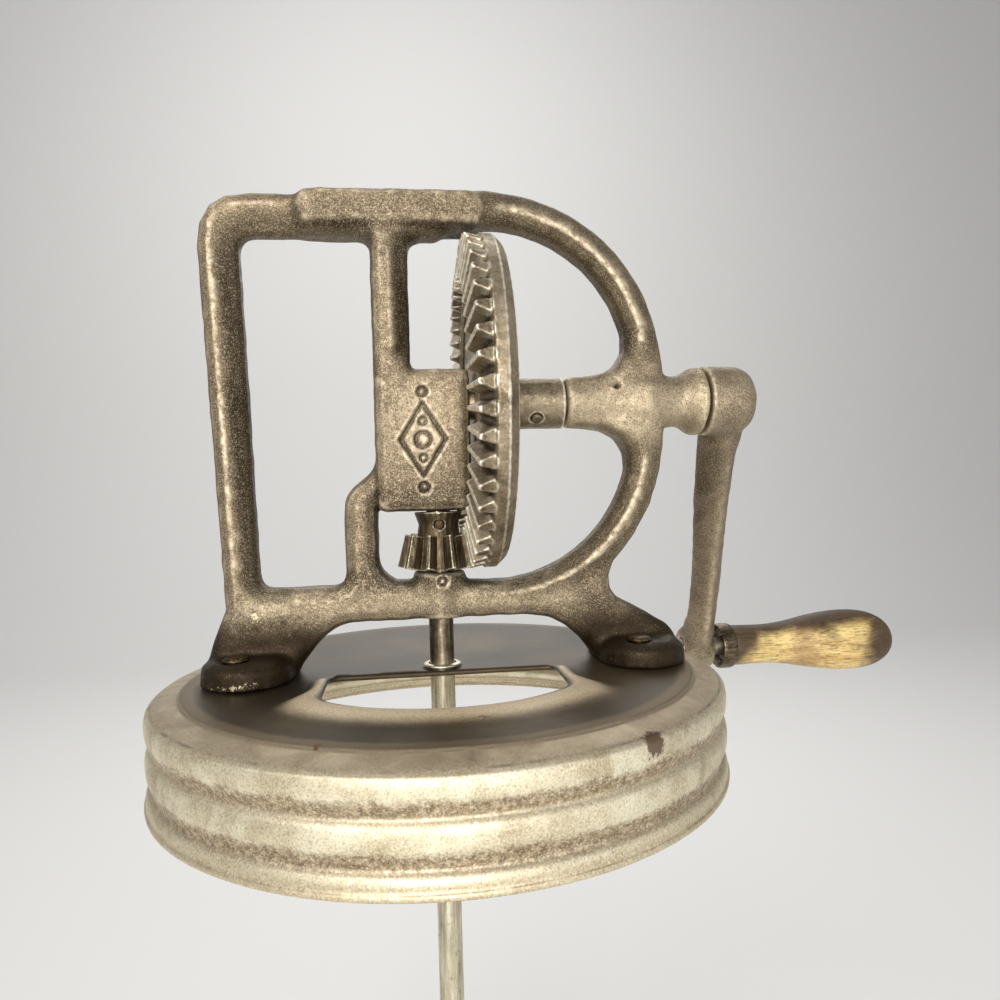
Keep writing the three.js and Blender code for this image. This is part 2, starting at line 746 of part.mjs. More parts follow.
function makeCasting() {
  const outline = castingOutline();
  outline.holes.push(gripWindowHole(), gearOpening());
  const rimTop = boss.radius + oiler.rimRise;
  const body = joined([
    standing(outline, frame.depth, frame.edgeRound, 4),
    blockSolid(),
    postSolid(),
    plateSolid(),
    bossSolid(),
    rodZ(rodBoss.radius, discTop + underBar, discTop + bayBottom, 16),
    oilerPin(oiler.rimRadius, 0, rimTop),
    footPad(-1),
    footPad(1),
    footFlare(-1),
    footFlare(1),
  ]);
  const floor = new THREE.BoxGeometry(4 * lid.outerRadius, 2 * lid.outerRadius, 2 * foot.thickness);
  return cutBy(body, [
    solid(floor, move(0, 0, discTop + fitGap - foot.thickness)),
    rodX(shaft.radius + runGap, -shaft.leftEnd - endGap, bossRight + cutOver),
    rodZ(rod.radius + runGap, discTop + underBar - cutOver, rodTop + endGap),
    oilerPin(oiler.radius, shaft.radius, rimTop + cutOver),
    ...rivetHoles(discTop - cutOver, discTop + foot.thickness + cutOver),
  ]);
}

// Bevel gears: every tooth is a prism whose edges all run to the meeting point of the two axes

// Half width of a tooth at a height above its pitch line, by the involute of its back cone
function toothHalfWidth(height, coneAngle, teeth, thicknessShare) {
  const pitchRadius = toothModule * teeth / 2 / cos(coneAngle);
  const baseRadius = pitchRadius * cos(pressureAngle);
  const involute = (angle) => tan(angle) - angle;
  const radius = pitchRadius + height;
  const turn = radius > baseRadius ? Math.acos(baseRadius / radius) : 0;
  const pitchAngle = thicknessShare * PI * toothModule / 2 / pitchRadius;
  const halfAngle = pitchAngle + involute(pressureAngle) - involute(turn);
  return { lateral: radius * sin(halfAngle), drop: radius * cos(halfAngle) - pitchRadius };
}

// Section of one tooth on the back cone, as [lateral, height] from root to root
function toothSection(coneAngle, teeth, thicknessShare, steps) {
  const reach = dedendum * rootReachShare;
  const right = [];
  for (let i = 0; i <= steps; i += 1) {
    const height = (addendum + reach) * i / steps - reach;
    const { lateral, drop } = toothHalfWidth(height, coneAngle, teeth, thicknessShare);
    right.push([lateral, drop]);
  }
  const left = right.map(([lateral, drop]) => [-lateral, drop]).reverse();
  return [...right, ...left];
}

// Teeth round the local +Y axis, with the cone's point at the origin
function toothRing({ coneAngle, teeth, thicknessShare, innerShare, steps, phase }) {
  const section = toothSection(coneAngle, teeth, thicknessShare, steps);
  const axis = new THREE.Vector3(0, 1, 0);
  const bodies = [];
  for (let i = 0; i < teeth; i += 1) {
    const turn = phase + FULL_TURN * i / teeth;
    const radial = new THREE.Vector3(cos(turn), 0, sin(turn));
    const side = new THREE.Vector3(-sin(turn), 0, cos(turn));
    const along = axis.clone().multiplyScalar(cos(coneAngle)).addScaledVector(radial, sin(coneAngle));
    const up = axis.clone().multiplyScalar(-sin(coneAngle)).addScaledVector(radial, cos(coneAngle));
    const ring = section.map(([lateral, height]) => along.clone().multiplyScalar(coneDistance)
      .addScaledVector(up, height).addScaledVector(side, lateral));
    bodies.push(loft([ring.map((point) => point.clone().multiplyScalar(innerShare)), ring]));
  }
  return bodies;
}

function makeDriveGear() {
  const toX = placed(move(0, 0, axisZ), alongX());
  const rootIn = rootPoint(gearConeAngle, gearInnerShare);
  const bore = shaft.radius + fitGap;
  const rimInner = gearRadius - gearRim.width;
  const profile = [
    [bore, webFront],
    [rootIn[0] - toothModule / 2, webFront],
    rootIn,
    gearRootOut,
    [gearRadius, gearRootOut[1]],
    [gearRadius, rimBack - gearRim.chamfer],
    [gearRadius - gearRim.chamfer, rimBack],
    [rimInner, rimBack],
    [rimInner - toothModule, webBack],
    [gearHub.flareRadius, webBack],
    [gearHub.radius, webBack + gearHub.flareLength],
    [gearHub.radius, hubEnd],
    [bore, hubEnd],
    [bore, webFront],
  ];
  const blank = solid(revolve(profile, gearTeeth), toX);
  const teeth = toothRing({
    coneAngle: gearConeAngle,
    teeth: gearTeeth,
    thicknessShare: gearThicknessShare,
    innerShare: gearInnerShare,
    steps: 1,
    phase: gearPhase(),
  }).map((body) => body.transform(toX.elements));
  return cutBy(joined([blank, ...teeth]), [gearPinBody(fitGap, cutOver)]);
}

// At the lowest point, where they meet, the gear has a gap and the pinion a tooth
function gearPhase() {
  return HALF_TURN + QUARTER_TURN + HALF_TURN / gearTeeth;
}

const pinionNeckTop = block.drop + endGap;
const pinionRootIn = rootPoint(pinionConeAngle, pinionInnerShare);
const pinionWaist = (pinionNeckTop + pinionRootIn[1]) / 2;

function makePinion() {
  const downward = placed(move(0, 0, axisZ), new THREE.Matrix4().makeRotationX(-QUARTER_TURN));
  const bore = rod.radius + fitGap;
  const profile = [
    [bore, pinionNeckTop],
    [pinionNeck.topRadius, pinionNeckTop],
    [pinionNeck.waistRadius, pinionWaist],
    pinionRootIn,
    pinionRootOut,
    [bore, pinionRootOut[1]],
    [bore, pinionNeckTop],
  ];
  const blank = solid(revolve(profile, 2 * pinionTeeth), downward);
  const teeth = toothRing({
    coneAngle: pinionConeAngle,
    teeth: pinionTeeth,
    thicknessShare: pinionThicknessShare,
    innerShare: pinionInnerShare,
    steps: 3,
    phase: 0,
  }).map((body) => body.transform(downward.elements));
  return cutBy(joined([blank, ...teeth]), [pinionPinBody(fitGap, cutOver)]);
}

// Cross pins. Each can be made larger all round and longer, to cut its own hole
function gearPinBody(gap, over) {
  const direction = new THREE.Vector3(0, -cos(gearPin.tilt), -sin(gearPin.tilt));
  const middle = new THREE.Vector3((webBack + gearHub.flareLength + hubEnd) / 2, 0, axisZ);
  return pinSolid(gearPin.radius + gap, gearHub.radius + over, middle, direction);
}

function pinionPinBody(gap, over) {
  const middle = new THREE.Vector3(0, 0, axisZ - pinionWaist);
  const direction = new THREE.Vector3(0, 1, 0);
  return pinSolid(pinionPin.radius + gap, pinionNeck.waistRadius + over, middle, direction, 12);
}

// Crank

function makeCrankShaft() {
  const shaftRight = armHubLeft + shaft.rightGrip;
  return cutBy(rodX(shaft.radius, -shaft.leftEnd, shaftRight), [gearPinBody(fitGap, cutOver)]);
}

const gripAxis = {
  y: crank.length * sin(crank.restTilt),
  z: axisZ - crank.length * cos(crank.restTilt),
};

// Places drawn with the arm hanging straight down are swung back to the resting tilt
function restSwing() {
  return placed(move(0, 0, axisZ), new THREE.Matrix4().makeRotationX(crank.restTilt), move(0, 0, -axisZ));
}

function revolvedGrip(profile, segments) {
  return solid(revolve(profile, segments), placed(move(0, gripAxis.y, gripAxis.z), alongX()));
}

// Round end of the hub, as shares of its radius against shares of its rise
const armDomeShares = [[1.00, 0.00], [0.86, 0.60], [0.50, 1.00], [0.00, 1.15]];

function armStem() {
  const rings = [];
  for (let i = armStations; i >= 0; i -= 1) {
    const t = i / armStations;
    const ease = t * t * (3 - 2 * t);
    const waist = 4 * t * (1 - t);
    const centreX = armRootX + arm.offset * ease;
    const halfX = arm.rootHalfX + (arm.endHalfX - arm.rootHalfX) * Math.min(1, t / armThinnedShare);
    const halfWide = arm.rootHalfWide * (1 - waist) + arm.midHalfWide * waist;
    const z = axisZ - crank.length * t;
    rings.push(ellipse(12, (c, s) => new THREE.Vector3(centreX + halfX * c, halfWide * s, z)));
  }
  return loft(rings).transform(restSwing().elements);
}

function makeCrankArm() {
  const domeStart = armHubRight - armHub.domeRise;
  const hub = revolvedX([
    [0, armHubLeft],
    [armHub.radius, armHubLeft],
    ...armDomeShares.map(([radiusShare, riseShare]) => [
      armHub.radius * radiusShare,
      domeStart + armHub.domeRise * riseShare,
    ]),
  ], 20);
  const eye = revolvedGrip([
    [0, eyeInner],
    [armEye.radius - armEye.edgeRound, eyeInner],
    [armEye.radius, eyeInner + armEye.edgeRound],
    [armEye.radius, eyeOuter - armEye.edgeRound],
    [armEye.radius - armEye.edgeRound, eyeOuter],
    [0, eyeOuter],
  ], 20);
  const socketEnd = armHubLeft + shaft.rightGrip + endGap;
  const socket = rodX(shaft.radius + fitGap, armHubLeft - cutOver, socketEnd);
  const eyeBore = revolvedGrip([
    [0, eyeInner - cutOver],
    [gripPin.radius + fitGap, eyeInner - cutOver],
    [gripPin.radius + fitGap, eyeOuter + cutOver],
    [0, eyeOuter + cutOver],
  ], 20);
  return cutBy(joined([hub, armStem(), eye]), [socket, eyeBore]);
}

function makeGripPin() {
  const headSeat = gripEnd - grip.socketDepth + fitGap;
  return revolvedGrip([
    [0, eyeInner],
    [gripPin.radius, eyeInner],
    [gripPin.radius, headSeat],
    [gripPin.headRadius, headSeat],
    [gripPin.headRadius - gripPin.headTaper, headSeat + gripPin.headThickness],
    [0, headSeat + gripPin.headThickness],
  ], 20);
}

// Silhouette of the turned wood as shares of the belly radius against shares of the length
const gripProfileShares = [
  [0.66, 0.00], [0.64, 0.06], [0.615, 0.14], [0.615, 0.24], [0.66, 0.33], [0.755, 0.43], [0.87, 0.53],
  [0.965, 0.63], [1.00, 0.72], [0.975, 0.80], [0.87, 0.875], [0.70, 0.94], [0.52, 0.98],
];

function makeGrip() {
  const bore = gripPin.radius + runGap;
  const tenon = ferrule.radius - ferrule.sheet - fitGap;
  const base = gripStart + ferrule.sheet + fitGap;
  const shoulder = gripStart + ferrule.length + fitGap;
  const length = gripEnd - shoulder;
  const curve = gripProfileShares.map(([radiusShare, lengthShare]) => [
    Math.max(grip.bellyRadius * radiusShare, tenon),
    shoulder + length * lengthShare,
  ]);
  const socket = gripPin.headRadius + fitGap;
  return revolvedGrip([
    [bore, base],
    [tenon, base],
    [tenon, shoulder],
    ...curve,
    [socket, gripEnd],
    [socket, gripEnd - grip.socketDepth],
    [bore, gripEnd - grip.socketDepth],
    [bore, base],
  ], 18);
}

function makeFerrule() {
  const bore = gripPin.radius + runGap;
  const end = gripStart + ferrule.length;
  const inner = ferrule.radius - ferrule.sheet;
  return revolvedGrip([
    [bore, gripStart],
    [ferrule.radius - ferrule.taper, gripStart],
    [ferrule.radius, gripStart + ferrule.sheet],
    [ferrule.radius - ferrule.taper / 2, end],
    [inner, end],
    [inner, gripStart + ferrule.sheet],
    [bore, gripStart + ferrule.sheet],
    [bore, gripStart],
  ], 16);
}

// Dasher

const nutTop = rodBottom + nut.height + rod.radius;
const washerTop = nutTop + fitGap + washer.thickness;
const boardBottom = washerTop + fitGap;
const boardTop = boardBottom + board.height;
const collarBottom = boardTop + fitGap;
const collarTop = collarBottom + collar.height;

function makeRod() {
  const tip = rod.radius / 4;
  const body = revolvedZ([
    [0, rodBottom],
    [rod.radius - tip, rodBottom],
    [rod.radius, rodBottom + tip],
    [rod.radius, rodTop - tip],
    [rod.radius - tip, rodTop],
    [0, rodTop],
  ], 16);
  return cutBy(body, [pinionPinBody(fitGap, cutOver), collarPinBody(fitGap, cutOver)]);
}

function collarPinBody(gap, over) {
  const middle = new THREE.Vector3(0, 0, (collarBottom + collarTop) / 2);
  const direction = new THREE.Vector3(1, 0, 0);
  return pinSolid(collar.pinRadius + gap, collar.radius + over, middle, direction, 12);
}

function makeCollar() {
  const bore = rod.radius + fitGap;
  const edge = collar.radius / 8;
  const body = revolvedZ([
    [bore, collarBottom],
    [collar.radius, collarBottom],
    [collar.radius, collarTop - edge],
    [collar.radius - edge, collarTop],
    [bore, collarTop],
    [bore, collarBottom],
  ], 16);
  return cutBy(body, [collarPinBody(fitGap, cutOver)]);
}

function makeWasher() {
  const bore = rod.radius + fitGap;
  const bottom = washerTop - washer.thickness;
  return revolvedZ([
    [bore, bottom],
    [washer.radius, bottom],
    [washer.radius, washerTop],
    [bore, washerTop],
    [bore, bottom],
  ], 20);
}

function makeNut() {
  const corner = nut.acrossFlats / 2 / cos(PI / nutSides);
  const bottom = nutTop - nut.height;
  const body = rodZ(corner, bottom, nutTop, nutSides);
  return cutBy(body, [rodZ(rod.radius + fitGap, bottom - cutOver, nutTop + cutOver)]);
}

// One board with its drilled holes and the slot that takes the other board
function makeBoard(slotFromTop, turn) {
  const half = board.halfWidth;
  const r = board.cornerRadius;
  const bottom = boardBottom - discTop;
  const top = boardTop - discTop;
  const shape = roundedOutline([
    [-half, bottom, r], [half, bottom, r], [half, top, r], [-half, top, r],
  ]);
  for (const side of [-1, 1]) {
    for (const heightShare of boardHoleHeightShares) {
      const x = side * half * boardHoleReachShare;
      const z = bottom + board.height * heightShare;
      const hole = new THREE.Path(ellipse(boardHole.segments, (c, s) => (
        new THREE.Vector2(x + boardHole.radius * c, z - boardHole.radius * s)
      )));
      shape.holes.push(hole);
    }
  }
  const blank = standing(shape, board.thickness, 0, 5);
  const middleZ = (boardTop + boardBottom) / 2;
  const slotWidth = board.thickness + 2 * fitGap;
  const slotFrom = slotFromTop ? middleZ - fitGap : boardBottom - cutOver;
  const slotTo = slotFromTop ? boardTop + cutOver : middleZ + fitGap;
  const slot = solid(
    new THREE.BoxGeometry(slotWidth, 2 * board.thickness, slotTo - slotFrom),
    move(0, 0, (slotFrom + slotTo) / 2),
  );
  const bore = rodZ(rod.radius + board.boreGap, boardBottom - cutOver, boardTop + cutOver);
  return cutBy(blank, [slot, bore]).transform(new THREE.Matrix4().makeRotationZ(turn).elements);
}

// Assembly
const churnHead = new THREE.Group();

function add(name, body, material) {
  const mesh = new THREE.Mesh(fromSolid(body), material);
  mesh.name = name;
  churnHead.add(mesh);
}

add('lid', makeLid(), tinPlate());
add('seal_ring', makeSeal(), rubber());
add('rod_eyelet', makeEyelet(), wornSteel());
add('frame_casting', makeCasting(), castIron());
for (const place of rivetPlaces()) {
  add(place.name, makeRivet(place), darkSteel());
}
add('crank_shaft', makeCrankShaft(), wornSteel());
add('drive_gear', makeDriveGear(), castIron());
add('gear_pin', gearPinBody(0, gearPin.proud), darkSteel());
add('crank_arm', makeCrankArm(), castIron());
add('grip_pin', makeGripPin(), wornSteel());
add('grip_ferrule', makeFerrule(), wornSteel());
add('wooden_grip', makeGrip(), turnedWood());
add('pinion', makePinion(), wornSteel());
add('pinion_pin', pinionPinBody(0, pinionPin.proud), darkSteel());
add('dasher_rod', makeRod(), wornSteel());
add('dasher_collar', makeCollar(), wornSteel());
add('collar_pin', collarPinBody(0, collar.pinProud), darkSteel());
add('dasher_board_upper', makeBoard(false, 0), paleWood());
add('dasher_board_lower', makeBoard(true, QUARTER_TURN), paleWood());
add('dasher_washer', makeWasher(), wornSteel());
add('dasher_nut', makeNut(), wornSteel());

export default churnHead;
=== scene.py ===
from math import acos, atan2, cos, dist, hypot, pi, radians, sin, sqrt, tau

import bmesh
import bpy
import numpy as np
from mathutils import Matrix, Vector, noise
from mathutils.geometry import delaunay_2d_cdt


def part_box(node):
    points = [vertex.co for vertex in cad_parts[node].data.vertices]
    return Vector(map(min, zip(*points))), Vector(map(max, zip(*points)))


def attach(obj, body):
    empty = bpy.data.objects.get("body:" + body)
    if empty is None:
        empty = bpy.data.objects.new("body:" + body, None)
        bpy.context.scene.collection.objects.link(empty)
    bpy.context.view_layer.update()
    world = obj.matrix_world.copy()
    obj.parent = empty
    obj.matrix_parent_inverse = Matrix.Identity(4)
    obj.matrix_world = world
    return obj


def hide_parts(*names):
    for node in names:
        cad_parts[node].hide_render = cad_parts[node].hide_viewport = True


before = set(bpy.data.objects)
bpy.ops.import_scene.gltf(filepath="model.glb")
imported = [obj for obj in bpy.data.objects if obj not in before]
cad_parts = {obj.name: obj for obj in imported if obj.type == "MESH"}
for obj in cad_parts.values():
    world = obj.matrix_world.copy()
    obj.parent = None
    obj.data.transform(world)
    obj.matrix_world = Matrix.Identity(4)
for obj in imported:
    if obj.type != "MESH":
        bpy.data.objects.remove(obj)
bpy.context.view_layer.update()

# Lengths are in millimetres here, and become metres where a mesh or a node takes them
MM = 0.001
DISC = 2.85  # height of the lid's disc over the origin
TINY = 1e-6  # a length that counts as nothing


def limits(node):
    """Lowest and highest corner of a node of the frame"""
    return [np.array(corner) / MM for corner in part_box(node)]


def middle(node):
    low, high = limits(node)
    return (low + high) / 2


AXIS = middle("crank_shaft")[2]
GRIP_Y, GRIP_Z = middle("grip_pin")[1:]


# Meshes

def linked(name, data):
    """A new object of the scene, with this mesh, lamp or camera"""
    thing = bpy.data.objects.new(name, data)
    bpy.context.scene.collection.objects.link(thing)
    return thing


def smooth(mesh):
    mesh.polygons.foreach_set("use_smooth", [True] * len(mesh.polygons))


def make(name, verts, faces, body, look, swaps):
    mesh = bpy.data.meshes.new(name)
    mesh.from_pydata([tuple(c * MM for c in v) for v in verts], [], [tuple(f) for f in faces])
    mesh.update()
    smooth(mesh)
    return settle(linked(name, mesh), body, look, swaps)


def settle(thing, body, look, swaps):
    """Gives a thing its look, its body and the nodes of the frame that it stands for"""
    thing.data.materials.clear()
    thing.data.materials.append(look)
    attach(thing, body)
    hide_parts(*swaps)
    return thing


def applied(thing):
    """The mesh that a thing's modifiers give, in place of the mesh and the modifiers"""
    graph = bpy.context.evaluated_depsgraph_get()
    mesh = bpy.data.meshes.new_from_object(thing.evaluated_get(graph))
    thing.modifiers.clear()
    thing.data = mesh
    return thing


CORNER_SHARE = 0.48  # the most that a rounded corner takes of a side


def rounded(points, radius, steps, closed=False):
    """A polyline with its corners rounded; a corner's own radius may be its third number"""
    count = len(points)
    out = []
    for i, p in enumerate(points):
        r = p[2] if len(p) > 2 else radius
        if not closed and i in (0, count - 1) or r <= 0:
            out.append((p[0], p[1]))
            continue
        here = Vector(p[:2])
        back = Vector(points[i - 1][:2]) - here
        ahead = Vector(points[(i + 1) % count][:2]) - here
        reach = min(r, back.length * CORNER_SHARE, ahead.length * CORNER_SHARE)
        start = here + back.normalized() * reach
        end = here + ahead.normalized() * reach
        for k in range(steps + 1):
            t = k / steps
            at = start * (1 - t) ** 2 + here * 2 * t * (1 - t) + end * t ** 2
            out.append((at.x, at.y))
    return out


def section(inner, outer, low, high):
    """Half profile of a plain bar or ring"""
    return [(inner, low), (outer, low), (outer, high), (inner, high)]


def circle(radius, count, shift=0.0):
    angles = [tau * (i + shift) / count for i in range(count)]
    return [(radius * cos(a), radius * sin(a)) for a in angles]


def spun(profile, count, axis="Z", centre=(0, 0, 0), closed=False, wave=None):
    """Vertices and faces of [radius, station] pairs turned about an axis; a wave adds to the radius"""
    verts, faces, rows = [], [], []
    for r, s in profile:
        if r < TINY:
            rows.append([len(verts)])
            verts.append((0.0, 0.0, s))
            continue
        rows.append(list(range(len(verts), len(verts) + count)))
        for k in range(count):
            a = tau * k / count
            out = r + (wave(a, s) if wave else 0)
            verts.append((out * cos(a), out * sin(a), s))
    pairs = list(zip(rows, rows[1:])) + ([(rows[-1], rows[0])] if closed else [])
    for low, high in pairs:
        for k in range(count):
            n = (k + 1) % count
            ring = [low[k % len(low)], low[n % len(low)], high[n % len(high)], high[k % len(high)]]
            ring = list(dict.fromkeys(ring))
            if len(ring) > 2:
                faces.append(ring)
    if axis == "X":
        verts = [(z, x, y) for x, y, z in verts]
    cx, cy, cz = centre
    return [(x + cx, y + cy, z + cz) for x, y, z in verts], faces


def outward(thing, open_sheet=False):
    """Turns the faces outwards; an open sheet's so that its top looks up"""
    bm = bmesh.new()
    bm.from_mesh(thing.data)
    bmesh.ops.recalc_face_normals(bm, faces=bm.faces)
    if open_sheet and max(bm.faces, key=lambda f: f.calc_center_median().z).normal.z < 0:
        bmesh.ops.reverse_faces(bm, faces=bm.faces)
    bm.to_mesh(thing.data)
    bm.free()
    return thing


def turned(name, profile, soft, count, body, look, swaps, axis="Z", centre=(0, 0, 0), closed=False,
           wave=None, steps=4):
    """A turned piece, from its half profile with the corners rounded"""
    verts, faces = spun(rounded(profile, soft, steps, closed), count, axis, centre, closed, wave)
    outward(make(name, verts, faces, body, look, swaps))


def rising(x, lo, hi):
    """0 up to lo, 1 from hi on, and eased between them"""
    t = np.clip((x - lo) / (hi - lo), 0, 1)
    return t * t * (3 - 2 * t)


def falling(x, lo, hi):
    """1 up to lo, 0 from hi on, and eased between them"""
    return 1 - rising(x, lo, hi)


def hump(x, centre, width):
    """1 at the centre, fading away to both sides"""
    return np.exp(-((x - centre) / width) ** 2)


def outside(x, lo, hi):
    """How far x lies outside the span from lo to hi"""
    return np.maximum(0, np.maximum(lo - x, x - hi))


def paint(mesh, name, values):
    """A number for each vertex, which the mesh's look reads by that name"""
    layer = mesh.attributes.new(name, "FLOAT", "POINT")
    layer.data.foreach_set("value", np.asarray(values, dtype=np.float32))


def points_of(mesh):
    co = np.empty(len(mesh.vertices) * 3)
    mesh.vertices.foreach_get("co", co)
    return co.reshape(-1, 3) / MM


def normals_of(mesh, points):
    """Puts the mesh's vertices at these points, and gives their normals there"""
    mesh.vertices.foreach_set("co", (points * MM).ravel())
    mesh.update()
    normal = np.empty(len(mesh.vertices) * 3)
    mesh.vertices.foreach_get("normal", normal)
    return normal.reshape(-1, 3)


WELD = 2e-6  # metres within which the points of a solid are joined
SINK, SWELL = 0.5, 0.52  # shares of the way to the neighbours' mean, there and back
MELT_ROUNDS = 30
NEAR_ROUNDS, WIDE_ROUNDS = 8, 60
EDGE_FULL, CROWN_FULL = 0.06, 0.5  # heights over the surroundings that paint a full 1
SOFT_ANGLE = radians(32)  # sharper edges of a kept node are softened


def weld(thing):
    thing.modifiers.new("weld", "WELD").merge_threshold = WELD


def neighbour_mean(mesh):
    """A function that gives, for any points of this mesh, the mean of each one's neighbours"""
    count = len(mesh.vertices)
    edges = np.empty(len(mesh.edges) * 2, int)
    mesh.edges.foreach_get("vertices", edges)
    a, b = edges.reshape(-1, 2).T
    degree = np.bincount(a, minlength=count) + np.bincount(b, minlength=count)

    def mean(points):
        total = np.empty_like(points)
        for k in range(3):
            total[:, k] = (np.bincount(a, points[b, k], count) + np.bincount(b, points[a, k], count)) / degree
        return total

    return mean


def recast(node, name, voxel, rounds, body, look, rough, grain, shape=None, stains=None, melt=None):
    """
    A cast piece: the solid remeshed finely, its corners run soft, then shaped, melted and roughened.
    Its vertices carry edge and crown: how far they stand out of their near and wide surroundings.
    """
    thing = linked(name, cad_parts[node].data.copy())
    weld(thing)
    remesh = thing.modifiers.new("remesh", "REMESH")
    remesh.mode = "VOXEL"
    remesh.voxel_size = voxel * MM
    applied(thing)
    mesh = thing.data
    mean = neighbour_mean(mesh)

    def sunk(points, times, share=SINK):
        for _ in range(times):
            points = points + share * (mean(points) - points)
        return points

    co = points_of(mesh)
    for _ in range(rounds):
        co = sunk(sunk(co, 1), 1, -SWELL)
    if shape:
        co = shape(co)
    if melt:
        co = sunk(co, MELT_ROUNDS, melt(co)[:, None] * SINK)
    lift = np.array([noise.noise(Vector(p) / grain) for p in co])
    co = co + normals_of(mesh, co) * (lift * rough)[:, None]
    co = np.clip(co, *limits(node))
    normal = normals_of(mesh, co)
    near = sunk(co, NEAR_ROUNDS)
    wide = sunk(near, WIDE_ROUNDS)
    paint(mesh, "edge", ((co - near) * normal).sum(1) / EDGE_FULL)
    paint(mesh, "crown", ((co - wide) * normal).sum(1) / CROWN_FULL)
    for key, values in (stains(co) if stains else {}).items():
        paint(mesh, key, values)
    smooth(mesh)
    mesh.update()
    settle(thing, body, look, (node,))


def kept(node, look, bevel):
    """A CAD node shown as it is, with softened edges"""
    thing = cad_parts[node]
    weld(thing)
    soft = thing.modifiers.new("bevel", "BEVEL")
    soft.width = bevel * MM
    soft.segments = 2
    soft.limit_method = "ANGLE"
    soft.angle_limit = SOFT_ANGLE
    thing.data.materials.clear()
    thing.data.materials.append(look)
    smooth(thing.data)


# Looks

def rgb(r, g, b):
    """A colour from 0 to 255, in the linear light that a look takes"""
    def linear(c):
        c /= 255
        return c / 12.92 if c <= 0.04045 else ((c + 0.055) / 1.055) ** 2.4
    return (linear(r), linear(g), linear(b), 1.0)


def blended(a, b, share):
    return tuple(p + (q - p) * share for p, q in zip(a, b))


